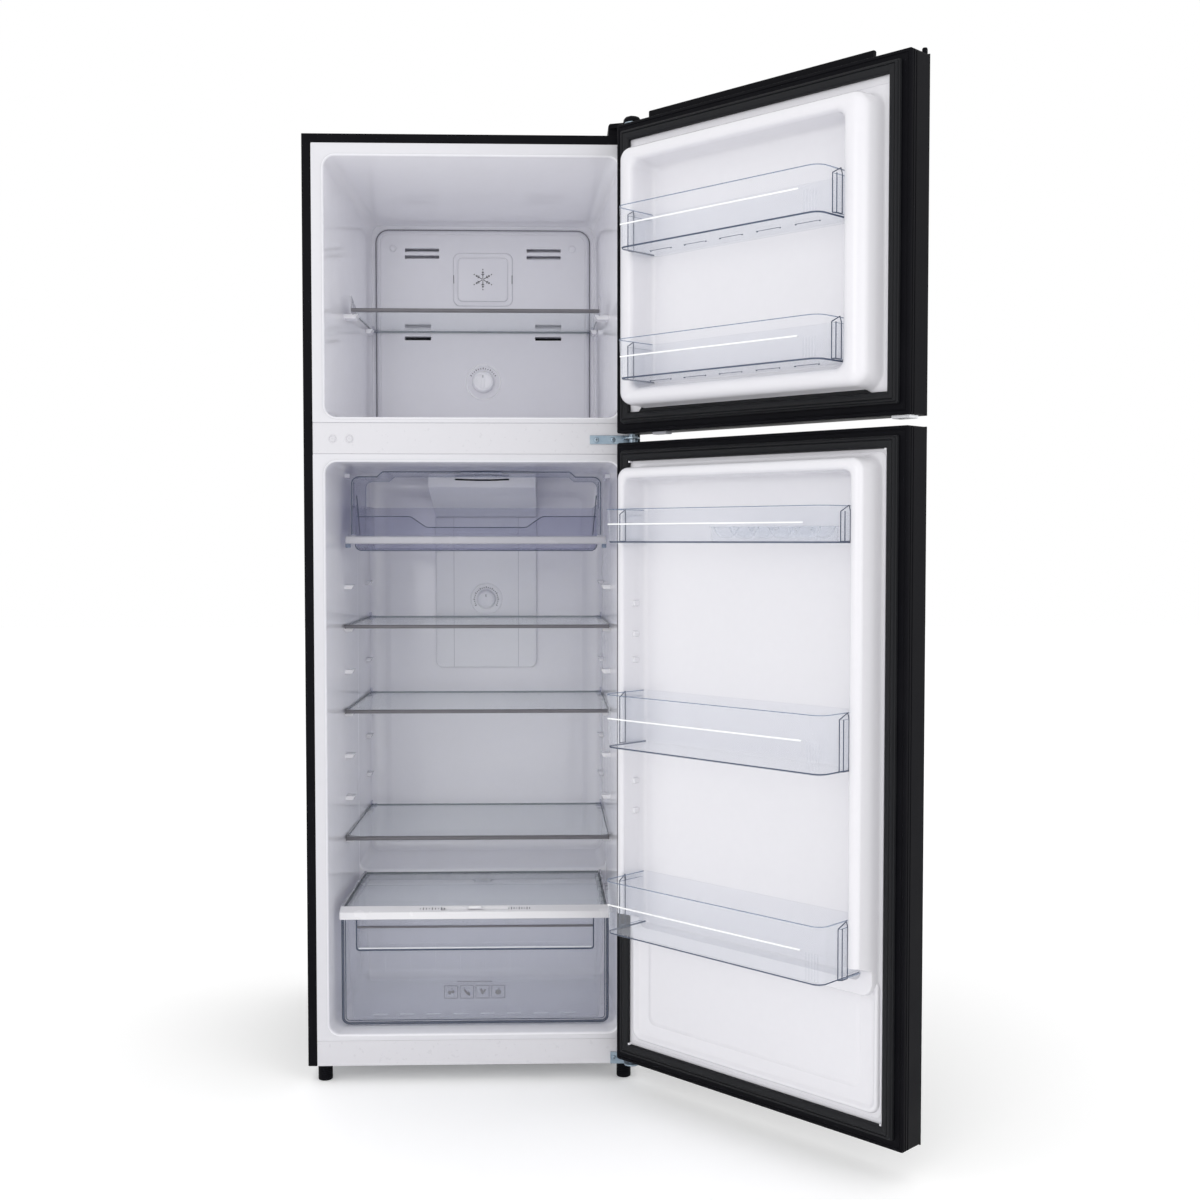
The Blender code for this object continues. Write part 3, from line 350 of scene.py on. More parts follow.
def surface(name, colour, second, roughness, bumps=(), metallic=0.0, specular=0.5, patch=14.0,
            coat=0.0, grain=EVEN):
    """A moulded, painted or metal surface: two close colours and a roughness range mixed by noise."""
    material, nodes, links = new_material(name)
    shader = nodes["Principled BSDF"]
    texture = noise_node(nodes, links, patch, 4.0)
    factor = ramp_between(nodes, links, texture.outputs["Fac"], 0.0, 1.0)
    links.new(blend_colours(nodes, links, factor, colour, second), shader.inputs["Base Color"])
    rough = ramp_between(nodes, links, texture.outputs["Fac"], *roughness)
    links.new(rough, shader.inputs["Roughness"])
    shader.inputs["Metallic"].default_value = metallic
    shader.inputs["Specular IOR Level"].default_value = specular
    shader.inputs["Coat Weight"].default_value = coat
    add_bumps(nodes, links, shader, bumps, grain)
    return material


def see_through(name, tint, body, least, most, roughness=0.06):
    """Clear plastic or glass: tinted light passes, and more is mirrored the flatter it is seen."""
    material, nodes, links = new_material(name)
    shader = nodes["Principled BSDF"]
    shader.inputs["Base Color"].default_value = (*body, 1.0)
    shader.inputs["IOR"].default_value = 1.5
    texture = noise_node(nodes, links, CLEAR_PATCH, 3.0)
    links.new(ramp_between(nodes, links, texture.outputs["Fac"], roughness * 0.7, roughness * 1.5),
              shader.inputs["Roughness"])
    clear = nodes.new("ShaderNodeBsdfTransparent")
    clear.inputs["Color"].default_value = (*tint, 1.0)
    weight = nodes.new("ShaderNodeLayerWeight")
    weight.inputs["Blend"].default_value = 0.5
    curve = nodes.new("ShaderNodeMath")
    curve.operation = "POWER"
    curve.inputs[1].default_value = FACING_POWER
    links.new(weight.outputs["Facing"], curve.inputs[0])
    mirroring = ramp_between(nodes, links, curve.outputs["Value"], least, most, 0.0, 1.0)
    mix = nodes.new("ShaderNodeMixShader")
    links.new(mirroring, mix.inputs["Fac"])
    links.new(clear.outputs["BSDF"], mix.inputs[1])
    links.new(shader.outputs["BSDF"], mix.inputs[2])
    links.new(mix.outputs["Shader"], nodes["Material Output"].inputs["Surface"])
    return material


MAT = {
    "black_steel": surface("satin_black_steel", (0.0032, 0.0032, 0.0048), (0.0052, 0.0052, 0.0070),
                           (0.33, 0.42), ((900, 0.12, 0.0002), (60, 0.02, 0.0005)),
                           specular=0.05),
    "black_plastic": surface("grained_black_plastic", (0.0034, 0.0034, 0.0050), (0.0056, 0.0056, 0.0074),
                             (0.42, 0.55), ((1400, 0.25, 0.0002),), specular=0.05),
    "gasket": surface("black_seal_rubber", (0.0075, 0.0080, 0.0098), (0.0105, 0.0110, 0.0130),
                      (0.45, 0.62), ((700, 0.10, 0.0002),), specular=0.20),
    "liner": surface("glossy_white_liner", (0.846, 0.842, 0.880), (0.852, 0.848, 0.886), (0.08, 0.13),
                     ((9, 0.10, 0.004), (420, 0.03, 0.0002)), patch=80.0),
    # The liner and its flange are one white plastic in two shades: the flange is made darker as painted
    # shade, and the inside is kept lighter as painted light.
    "liner_flange_shade": surface("glossy_white_flange_painted_shade", (0.640, 0.636, 0.672), (0.648, 0.644, 0.680),
                            (0.14, 0.20), ((9, 0.08, 0.004), (420, 0.03, 0.0002)), patch=80.0),
    "door_liner": surface("glossy_white_door_liner", (0.742, 0.735, 0.770), (0.750, 0.743, 0.777),
                          (0.15, 0.22), ((9, 0.10, 0.004), (420, 0.03, 0.0002)), patch=80.0),
    # Painted shade: the duct tower's moulded white plastic made darker for the freezer's back cover and its
    # fittings.
    "freezer_shaded_white": surface("freezer_white_painted_shade", (0.700, 0.697, 0.742), (0.708, 0.705, 0.750),
                               (0.28, 0.31), ((1500, 0.05, 0.0001),), patch=60.0),
    "white_plastic": surface("moulded_white_plastic", (0.850, 0.850, 0.880), (0.857, 0.857, 0.887),
                             (0.28, 0.32), ((1500, 0.06, 0.0001),), patch=110.0),
    "white_steel": surface("painted_white_steel", (0.628, 0.622, 0.655), (0.635, 0.629, 0.662),
                           (0.27, 0.30), ((700, 0.03, 0.0001),), patch=110.0),
    "light_trim": surface("pale_grey_trim", (0.42, 0.420, 0.465), (0.44, 0.440, 0.482),
                          (0.22, 0.30), ((1200, 0.08, 0.0002),), patch=25.0),
    "white_trim": surface("white_trim", (0.73, 0.725, 0.750), (0.75, 0.745, 0.770),
                          (0.20, 0.28), ((1200, 0.08, 0.0002),), patch=25.0),
    "bright_strip": surface("bright_white_strip", (0.93, 0.93, 0.94), (0.95, 0.95, 0.96), (0.25, 0.35), (),
                            patch=60.0),
    "grey_trim": surface("dark_grey_trim", (0.110, 0.107, 0.120), (0.135, 0.130, 0.145),
                         (0.32, 0.42), ((1300, 0.15, 0.0002),), patch=30.0),
    "marking": surface("grey_marking_ink", (0.06, 0.06, 0.07), (0.09, 0.09, 0.10), (0.45, 0.6), (),
                       patch=90.0),
    "faint_marking": surface("faint_marking_ink", (0.15, 0.15, 0.17), (0.19, 0.19, 0.21), (0.4, 0.55), (),
                             patch=90.0),
    "soft_marking": surface("pale_marking_ink", (0.42, 0.42, 0.46), (0.47, 0.47, 0.51), (0.4, 0.55), (),
                            patch=90.0),
    # Painted shade: near-black for the floors of blind slots and the screws' cross recesses, where a real
    # hollow would lie in shade.
    "recess_shade": surface("painted_recess_shade", (0.020, 0.020, 0.024), (0.030, 0.030, 0.034), (0.7, 0.85), (),
                        specular=0.1, patch=60.0),
    "zinc": surface("blue_zinc_plate", (0.22, 0.29, 0.36), (0.36, 0.43, 0.49), (0.26, 0.44),
                    ((250, 0.10, 0.0002),), metallic=0.9, patch=45.0),
    "galvanised": surface("galvanised_sheet", (0.36, 0.37, 0.39), (0.52, 0.53, 0.55), (0.34, 0.52),
                          ((30, 0.05, 0.0005),), metallic=0.8, patch=35.0),
    "back_sheet": surface("painted_back_sheet", (0.40, 0.41, 0.43), (0.44, 0.45, 0.47), (0.40, 0.50),
                          ((500, 0.08, 0.0002),), metallic=0.2, patch=12.0),
    "compressor": surface("black_enamel", (0.010, 0.010, 0.011), (0.020, 0.020, 0.021), (0.22, 0.36),
                          ((160, 0.10, 0.0004),), specular=0.4, coat=0.3),
    "copper": surface("copper_plated_tube", (0.60, 0.26, 0.13), (0.76, 0.40, 0.24), (0.25, 0.42),
                      ((400, 0.08, 0.0002),), metallic=1.0, patch=60.0),
    "aluminium": surface("drawn_aluminium", (0.70, 0.71, 0.72), (0.80, 0.81, 0.82), (0.28, 0.42),
                         ((500, 0.10, 0.0002),), metallic=1.0, patch=40.0, grain=(1, 1, 8)),
    "foam": surface("rigid_foam", (0.74, 0.66, 0.40), (0.82, 0.75, 0.50), (0.85, 0.95),
                    ((900, 0.5, 0.0006),), patch=90.0),
    "roller": surface("roller_plastic", (0.020, 0.020, 0.021), (0.035, 0.035, 0.036), (0.5, 0.65),
                      ((600, 0.15, 0.0003),), patch=60.0),
    "clear": see_through("clear_bin_plastic", (0.988, 0.990, 0.994), (0.78, 0.80, 0.84), 0.02, 0.34),
    "smoky": see_through("smoky_clear_plastic", (0.900, 0.903, 0.940), (0.46, 0.47, 0.57), 0.05, 0.46),
    "crisper": see_through("smoky_drawer_plastic", (0.974, 0.976, 0.984), (0.72, 0.73, 0.78), 0.05, 0.36),
    "glass": see_through("toughened_glass", (0.982, 0.988, 0.988), (0.74, 0.77, 0.80), 0.02, 0.34, 0.03),
    "glass_edge": see_through("glass_edge", (0.20, 0.25, 0.27), (0.14, 0.18, 0.20), 0.65, 0.85),
    "clear_edge": see_through("clear_plastic_edge", (0.56, 0.62, 0.71), (0.30, 0.36, 0.46), 0.32, 0.75),
    "dark_edge": see_through("dark_plastic_edge", (0.16, 0.19, 0.27), (0.07, 0.09, 0.14), 0.75, 0.92),
    "frosted": see_through("frosted_strip", (0.90, 0.92, 0.95), (0.86, 0.87, 0.90), 0.85, 0.95, 0.4),
}


# Making pieces

EDGE_ANGLE = 32
BEVEL_ANGLE = 35


def add_object(name, data):
    item = bpy.data.objects.new(name, data)
    bpy.context.scene.collection.objects.link(item)
    return item


def build_mesh(name, shape, materials=()):
    """A welded mesh with outward faces; materials lists what the shape's face marks stand for."""
    points, faces, marks = shape
    mesh = bpy.data.meshes.new(name)
    mesh.from_pydata(points, [], faces)
    for key in materials:
        mesh.materials.append(MAT[key])
    mesh.polygons.foreach_set("material_index", marks)
    bm = bmesh.new()
    bm.from_mesh(mesh)
    bmesh.ops.remove_doubles(bm, verts=bm.verts, dist=1e-6)
    bmesh.ops.recalc_face_normals(bm, faces=bm.faces)
    bm.to_mesh(mesh)
    bm.free()
    return mesh


def shade(mesh, angle=EDGE_ANGLE):
    """Smooth shading, with sharp edges from an angle upwards."""
    mesh.shade_smooth()
    mesh.set_sharp_from_angle(angle=radians(angle))


def soften(item, width):
    """Round off the sharp edges of a piece."""
    modifier = item.modifiers.new("bevel", "BEVEL")
    modifier.width = width
    modifier.segments = 2
    modifier.limit_method = "ANGLE"
    modifier.angle_limit = radians(BEVEL_ANGLE)
    modifier.harden_normals = True


def piece(name, shape, body, materials, replaces=(), bevel=0.0, angle=EDGE_ANGLE):
    """A mesh that rides on a body and may stand in for CAD nodes."""
    mesh = build_mesh(name, shape, materials)
    shade(mesh, angle)
    item = add_object(name, mesh)
    item.matrix_world = place_of(body)
    if bevel:
        soften(item, bevel)
    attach(item, body)
    if replaces:
        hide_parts(*replaces)
    return item


def carve(item, shape):
    """Cut a shape out of a piece for good."""
    tool = add_object("cutter", build_mesh("cutter", shape))
    tool.matrix_world = item.matrix_world
    modifier = item.modifiers.new("carve", "BOOLEAN")
    modifier.operation = "DIFFERENCE"
    modifier.object = tool
    bpy.context.view_layer.update()
    graph = bpy.context.evaluated_depsgraph_get()
    result = bpy.data.meshes.new_from_object(item.evaluated_get(graph))
    item.modifiers.remove(modifier)
    item.data = result
    bpy.data.objects.remove(tool)
    shade(item.data)


def keep(node, material, bevel=0.0):
    """Show a CAD node as it is, with a finished material and softened edges."""
    item = frame["nodes"][node]
    item.data.materials.clear()
    item.data.materials.append(MAT[material])
    if bevel:
        weld = item.modifiers.new("weld", "WELD")
        weld.merge_threshold = 0.00002
        soften(item, bevel)


# Cabinet

RIM = 0.006
BACK_FILLET = 0.016
FLANGE = 0.002
FLANGE_BANDS = 4


def tub(stations, flange, panel=0.0):
    """A drawn liner seen from inside: flange, rounded mouth, walls, soft back corners and,
    with panel, a back wall whose middle stands that far forward."""
    rings = [upright(flange, FLANGE), upright(flange, 0.0)]
    _, half, floor, ceiling, radius = stations[0]
    for rise, run in quarter_turn():
        grow = RIM * (1 - rise)
        mouth = rounded(-half - grow, half + grow, floor - grow, ceiling + grow, radius + grow)
        rings.append(upright(mouth, RIM * (1 - run)))
    for y, half, floor, ceiling, radius in stations[1:-1]:
        rings.append(upright(rounded(-half, half, floor, ceiling, radius), y))
    y, half, floor, ceiling, radius = stations[-1]
    for rise, run in quarter_turn():
        shrink = BACK_FILLET * (1 - run)
        outline = rounded(-half + shrink, half - shrink, floor + shrink, ceiling - shrink,
                          max(0.004, radius - shrink * 0.5))
        rings.append(upright(outline, y - BACK_FILLET + BACK_FILLET * rise))
    if panel:
        for inwards, forward, corner in ((0.030, 0.0, 0.022), (0.033, 0.12, 0.021),
                                         (0.041, 0.88, 0.018), (0.044, 1.0, 0.017)):
            outline = rounded(-half + inwards, half - inwards, floor + inwards, ceiling - inwards, corner)
            rings.append(upright(outline, y - panel * forward))
    rings.reverse()
    # The flange bands take the darker copy of the liner white, which is painted shade.
    wall_bands = len(rings) - 1 - FLANGE_BANDS
    return loft(rings, tags=[0] * wall_bands + [1] * FLANGE_BANDS, ends=(0,))


def ledges(places, inner, wall, thickness, length):
    """Supports on both side walls, round at their free ends; places lists (y, z of the top)."""
    shapes = []
    for y, z in places:
        outline = [(inner, z), (wall, z), (wall, z - thickness)]
        outline += arc(inner + thickness * 0.8, z - thickness * 0.55, thickness * 0.45, 270, 180, 4)
        shapes.append(mirrored(extrude_y(outline, y - length / 2, y + length / 2)))
    return combine(*shapes)


def cabinet_shell():
    keep("outer_shell", "black_steel", 0.0009)
    keep("back_panel", "back_sheet")
    keep("base_panel", "galvanised")
    keep("cabinet_foam", "foam")
    keep("toe_plate", "white_steel", 0.0004)
    low, high = span("centre_rail_cover")
    outline = rounded(low.x, high.x, low.z + 0.0004, high.z - 0.0004, 0.001, 2)
    piece("rail_cover", slab(outline, low.y, high.y, 0.0006), "cabinet", ["white_steel"],
          ["centre_rail_cover"])
    seams = [box(low.x, high.x, 0.0009, 0.0016, z0, z1)
             for z0, z1 in ((high.z - 0.0006, high.z + 0.0010), (low.z - 0.0010, low.z + 0.0006))]
    piece("rail_seams", combine(*seams), "cabinet", ["soft_marking"])
    profile = [(0.0072, 0.0), (0.0068, 0.0016), (0.0054, 0.0022), (0.0046, 0.0010), (0.0008, 0.0012)]
    z = (low.z + high.z) / 2 - 0.001
    caps = []
    for x in (-0.249, -0.219):
        caps.append(facing_front(turned(profile, 28), x, low.y + 0.0002, z))
        caps.append(box(x - 0.0034, x + 0.0034, low.y - 0.0010, low.y - 0.0004, z - 0.0004, z + 0.0004))
    piece("rail_plug_caps", combine(*caps), "cabinet", ["white_steel"])


def freezer_cavity():
    low, high = span("freezer_liner")
    cover_low, _ = span("evaporator_cover")
    floor = cover_low.z - 0.0003
    ceiling = floor + 0.4604
    back = high.y - 0.002
    stations = [
        (RIM, 0.262, floor, ceiling, 0.020),
        (0.060, 0.2573, floor, ceiling - 0.0048, 0.020),
        (cover_low.y, 0.2285, floor, 1.6275, 0.018),
        (back, 0.2225, floor, 1.6225, 0.016),
    ]
    flange = rounded(low.x, high.x, low.z, high.z, 0.002)
    piece("freezer_liner_inside", tub(stations, flange), "cabinet", ["liner", "liner_flange_shade"],
          ["freezer_liner"], angle=60)
    glass_low, _ = span("freezer_shelf_glass")
    under = glass_low.z - 0.0003
    front = ledges([(0.175, under)], 0.2225, 0.2500, 0.009, 0.034)
    rear = ledges([(0.375, under)], 0.2190, 0.2330, 0.009, 0.034)
    piece("freezer_shelf_lugs", combine(front, rear), "cabinet", ["liner"], bevel=0.0014)


def fridge_cavity():
    low, high = span("fridge_liner")
    lift = span("crisper_drawer")[0].z - 0.0905
    floor = 0.0871 + lift
    stations = [
        (RIM, 0.262, floor, 1.1211, 0.020),
        (0.060, 0.2585, floor, 1.1204, 0.0195),
        (0.157, 0.2535, floor + 0.001, 1.1195, 0.018),
        (0.340, 0.2510, floor + 0.002, 1.118, 0.016),
        (0.347, 0.2510, floor + 0.006, 1.118, 0.016),
        (0.350, 0.2510, floor + 0.020, 1.118, 0.016),
        (0.3502, 0.2510, 0.305, 1.118, 0.016),
        (0.3515, 0.2510, 0.3085, 1.118, 0.016),
        (0.355, 0.2510, 0.3100, 1.118, 0.016),
        (0.366, 0.2510, 0.3103, 1.118, 0.016),
        (high.y - 0.002, 0.2485, 0.312, 1.116, 0.020),
    ]
    flange = rounded(low.x, high.x, low.z, high.z, 0.002)
    piece("fridge_liner_inside", tub(stations, flange, panel=0.0045), "cabinet", ["liner", "liner_flange_shade"],
          ["fridge_liner"], angle=60)
    first = span("fridge_shelf_glass_1")[0].z - 0.0003
    heights = [first + 0.0808 * i for i in range(7)]
    front = ledges([(0.185, z) for z in heights], 0.2350, 0.2545, 0.0085, 0.030)
    rear = ledges([(0.475, z) for z in heights], 0.2365, 0.2510, 0.0085, 0.030)
    cover_under = span("crisper_cover_frame")[0].z
    low_rails = ledges([(0.120, cover_under), (0.300, cover_under)], 0.2420, 0.2560, 0.010, 0.024)
    piece("fridge_shelf_lugs", combine(front, rear, low_rails), "cabinet", ["door_liner"],
          bevel=0.0018)
    rail_top = span("chiller_housing")[1].z - 0.0023
    piece("chiller_housing_rails", mirrored(box(0.2430, 0.2530, 0.180, 0.300, rail_top - 0.008, rail_top)),
          "cabinet", ["liner"], bevel=0.001)


# Freezer fittings

def snowflake(x, y, z, size):
    """A plain six-armed crystal of thin flat bars."""
    bar = 0.0013
    shapes = []
    for arm in range(6):
        spin = Matrix.Translation((x, y, z)) @ Matrix.Rotation(pi / 3 * arm, 4, "Y")
        shapes.append(moved(box(-bar / 2, bar / 2, -0.0003, 0.0, 0.0012, size), spin))
        for along, twig in ((0.50, 0.24), (0.78, 0.17)):
            for side in (-1, 1):
                lean = Matrix.Translation((0, 0, size * along)) @ Matrix.Rotation(side * pi / 4, 4, "Y")
                shapes.append(moved(box(-bar / 2, bar / 2, -0.0003, 0.0, 0.0, size * twig), spin @ lean))
    return combine(*shapes)


def dial_scale(node, y, radius, swing, count):
    """Short marks above a dial, in an arc that reaches swing degrees to either side."""
    low, high = span(node)
    z = (low.z + high.z) / 2
    shapes = []
    for i in range(count):
        angle = radians(-swing + 2 * swing * i / (count - 1))
        length = 0.0035 if i % 3 == 0 else 0.0022
        mark = box(-0.0008, 0.0008, -0.0002, 0.0, radius, radius + length)
        shapes.append(moved(mark, Matrix.Translation((0, y, z)) @ Matrix.Rotation(angle, 4, "Y")))
    piece(f"{node}_marks", combine(*shapes), "cabinet", ["marking"])


def knob(name, node, ring_radius):
    """Round dial with a domed face, a rounded rim and a raised grip, and the fixed ring around it."""
    low, high = span(node)
    radius = (high.x - low.x) / 2
    z = (low.z + high.z) / 2
    base = high.y - 0.007
    height = base - low.y - 0.002
    profile = [(radius + 0.0006, 0.0), (radius + 0.0006, 0.002), (radius, 0.0035), (radius - 0.0006, 0.008),
               (radius - 0.0018, height - 0.0022), (radius - 0.0035, height - 0.0008),
               (radius - 0.0055, height), (radius - 0.0075, height - 0.0008),
               (radius * 0.5, height - 0.0016), (0.0005, height - 0.0018)]
    dial = facing_front(turned(profile, 56), 0.0, base, z)
    grip = rounded(-0.0026, 0.0026, -radius + 0.008, radius - 0.008, 0.0024, 4)
    handle = shifted(slab(grip, -height - 0.0004, -height + 0.004, 0.0008), 0.0, base, z)
    tip = box(-0.0006, 0.0006, -height - 0.0007, -height, radius - 0.0145, radius - 0.009, 1)
    pointer = shifted(tip, 0.0, base, z)
    piece(name, combine(dial, handle, pointer), node, ["white_plastic", "marking"], [node])
    ring = [(ring_radius, 0.0), (ring_radius - 0.0006, 0.0010), (ring_radius - 0.0016, 0.0012),
            (ring_radius - 0.0026, 0.0004), (ring_radius - 0.0030, -0.0004)]
    piece(f"{node}_ring", facing_front(turned(ring, 64, True), 0.0, base, z), "cabinet", ["white_plastic"])


FREEZER_SLOTS = (
    (0.090, 0.160, 1.577),
    (0.090, 0.160, 1.563),
    (0.107, 0.161, 1.422),
    (0.107, 0.161, 1.397),
)


def freezer_cover():
    """Back cover of the freezer with its rounded edge, the seat around it, air slots and louvres."""
    low, high = span("evaporator_cover")
    face, half, top, floor = low.y, high.x, high.z, low.z
    edge = 0.0075

    def arch(shrink, radius, base=floor):
        radii = (0.0008, radius, radius, 0.0008)
        return rounded(-half + shrink, half - shrink, base, top - shrink, radii, 10)

    rings = [upright(arch(0.0, 0.026), high.y - 0.004)]
    for rise, run in quarter_turn():
        shrink = edge * (1 - run)
        rings.append(upright(arch(shrink, 0.026 - shrink), face + edge - edge * rise))
    groove = ((0.0004, 0.0), (0.0009, 0.0009), (0.0018, 0.0009), (0.0024, 0.0))
    rings += [upright(arch(edge + inwards, 0.0185), face + depth) for inwards, depth in groove]
    item = piece("freezer_back_cover", loft(rings), "cabinet", ["freezer_shaded_white", "recess_shade"],
                 ["evaporator_cover"])
    section = ((-0.012, 0.0075), (-0.0035, 0.0075), (-0.0018, 0.0050), (0.001, 0.0050), (0.001, 0.0095),
               (-0.012, 0.0095))
    seat = [upright(arch(shrink, 0.028, floor - 0.002), face + depth) for shrink, depth in section]
    piece("freezer_cover_seat", loft(seat, True, tags=[0, 0, 1, 0, 0, 0]), "cabinet",
          ["freezer_shaded_white", "faint_marking"])
    slots = []
    for x0, x1, z in FREEZER_SLOTS:
        outline = rounded(x0, x1, z - 0.0038, z + 0.0038, 0.0012, 3)
        slots.append(mirrored(extrude_y(outline, face - 0.01, face + 0.026)))
    carve(item, combine(*slots))
    # The floors of the blind slots take painted shade, standing in for the dark hollow behind them.
    for polygon in item.data.polygons:
        in_slot = face + 0.0255 < polygon.center.y < high.y - 0.01
        if in_slot and abs(polygon.normal.y) > 0.9:
            polygon.material_index = 1
    louvres = []
    for x0, x1, z in FREEZER_SLOTS[:3]:
        tilt = Matrix.Translation((0, face + 0.0110, z - 0.0062)) @ Matrix.Rotation(radians(-38), 4, "X")
        blade = box(x0 + 0.0005, x1 - 0.0005, -0.0008, 0.0006, -0.0006, 0.0100)
        louvres.append(mirrored(moved(blade, tilt)))
    piece("freezer_cover_louvres", combine(*louvres), "cabinet", ["freezer_shaded_white"])
    keep("evaporator_coil", "aluminium")
    keep("fan_motor", "black_plastic")
    keep("fan_blade", "grey_trim")
    keep("defrost_heater", "galvanised")


def freezer_badge():
    """Raised plate with a groove and rim lines, a snowflake and six dots around it."""
    face = span("evaporator_cover")[0].y
    half, bottom, top = 0.061, 1.463, 1.5715
    rings = []
    for shrink, rise in ((0.0, -0.001), (0.0, 0.0), (0.0006, 0.0016), (0.0018, 0.0024), (0.0035, 0.0026),
                         (0.0075, 0.0014), (0.0095, 0.0012), (0.0100, 0.0026), (0.0108, 0.0032),
                         (0.0125, 0.0034)):
        outline = rounded(-half + shrink, half - shrink, bottom + shrink, top - shrink,
                          max(0.0075, 0.014 - shrink * 0.55), 8)
        rings.append(upright(outline, face - rise))
    badge = loft(rings, tags=[0, 2, 0, 0, 0, 0, 2, 0, 0])
    notch = mirrored(box(0.0592, 0.0604, face - 0.0030, face - 0.0014, 1.509, 1.526, 1))
    piece("freezer_badge", combine(badge, notch), "cabinet", ["freezer_shaded_white", "marking", "soft_marking"])
    centre_z, print_y, reach = 1.5172, face - 0.0034, 0.0205
    ink = [snowflake(0.0, print_y, centre_z, 0.0170)]
    for i in range(6):
        angle = pi / 3 * i + pi / 6
        dot = box(-0.0011, 0.0011, -0.0003, 0.0, -0.0011, 0.0011)
        ink.append(shifted(dot, reach * cos(angle), print_y, centre_z + reach * sin(angle)))
    piece("freezer_badge_snowflake", combine(*ink), "cabinet", ["marking"])


def freezer_cover_fittings():
    """Two screw caps, and the dial with its ring and scale."""
    face = span("evaporator_cover")[0].y
    profile = [(0.0084, -0.0004), (0.0084, 0.0004), (0.0078, 0.0004), (0.0076, -0.0002), (0.0070, -0.0002),
               (0.0068, 0.0010), (0.0062, 0.0014), (0.0005, 0.0016)]
    caps = [facing_front(turned(profile, 36), x, face, 1.581) for x in (-0.184, 0.184)]
    piece("freezer_screw_caps", combine(*caps), "cabinet", ["freezer_shaded_white"])
    knob("freezer_control_dial", "freezer_dial", 0.037)
    dial_scale("freezer_dial", face - 0.0001, 0.0265, 62, 13)


def glass_pane(name, node):
    """A toughened pane with ground edges; the frame gives its four corners."""
    low, high = span(node)
    points = vertices_of(node)
    front = max(p.x for p in points if p.y < low.y + 0.001)
    back = max(p.x for p in points if p.y > high.y - 0.001)
    base = [(-front, low.y), (front, low.y), (back, high.y), (-back, high.y)]
    pane = soft_block(base, low.z, high.z, 0.0006, 1)
    piece(name, pane, "cabinet", ["glass", "glass_edge"], [node])
    return low, high, front, back


def shelf(name, glass_node, trim_node, bracket):
    """Glass shelf: pane, front strip with end caps, and a clip at each rear corner."""
    low, high, front, back = glass_pane(f"{name}_pane", glass_node)
    trim_low, trim_high = span(trim_node)
    nose, lap = trim_low.y, trim_high.y + 0.0055
    bar = rounded(nose, trim_high.y + 0.0002, trim_low.z + 0.0008, trim_high.z - 0.0002, 0.0022, 5)
    strip = extrude_x(bar, -front + 0.002, front - 0.002)
    grips = [box(-front + 0.004, front - 0.004, trim_high.y, lap, z0, z1)
             for z0, z1 in ((high.z + 0.0001, high.z + 0.0010), (low.z - 0.0010, low.z - 0.0001))]
    piece(f"{name}_front_strip", combine(strip, *grips), "cabinet", ["grey_trim"],
          [trim_node], bevel=0.0003)
    if bracket:
        outline = [(nose + 0.001, trim_low.z + 0.0002), (nose + 0.012, trim_low.z - 0.0006),
                   (nose + 0.120, low.z + 0.0004), (nose + 0.120, high.z + 0.0016),
                   (nose + 0.112, high.z + 0.0030), (nose + 0.006, high.z + 0.0250),
                   (nose + 0.001, high.z + 0.0240)]
    else:
        outline = [(nose + 0.001, trim_low.z + 0.0004), (nose + 0.040, low.z - 0.0004),
                   (nose + 0.040, high.z + 0.0014), (nose + 0.010, high.z + 0.0022),
                   (nose + 0.001, high.z + 0.0022)]
    outside, wall = front - 0.0005, 0.0022
    caps = mirrored(extrude_x(outline, outside, outside - wall))
    piece(f"{name}_end_caps", caps, "cabinet", ["light_trim" if bracket else "grey_trim"],
          bevel=0.0005)
    rear = box(back - 0.012, back + 0.0006, high.y - 0.014, high.y + 0.0010, low.z - 0.0012,
               high.z + 0.0012)
    lip = box(back - 0.0034, back + 0.0004, high.y - 0.012, high.y - 0.0002, high.z + 0.0010,
              high.z + 0.0080)
    piece(f"{name}_rear_clips", combine(mirrored(rear), mirrored(lip)), "cabinet", ["smoky"],
          bevel=0.0005)
    middle = (low.z + high.z) / 2
    border = [tube([(side * (front - 0.0009), low.y + 0.004, middle),
                    (side * (back - 0.0009), high.y - 0.004, middle)], 0.0012) for side in (-1, 1)]
    piece(f"{name}_side_edges", combine(*border), "cabinet", ["glass_edge"])


# Refrigerator fittings

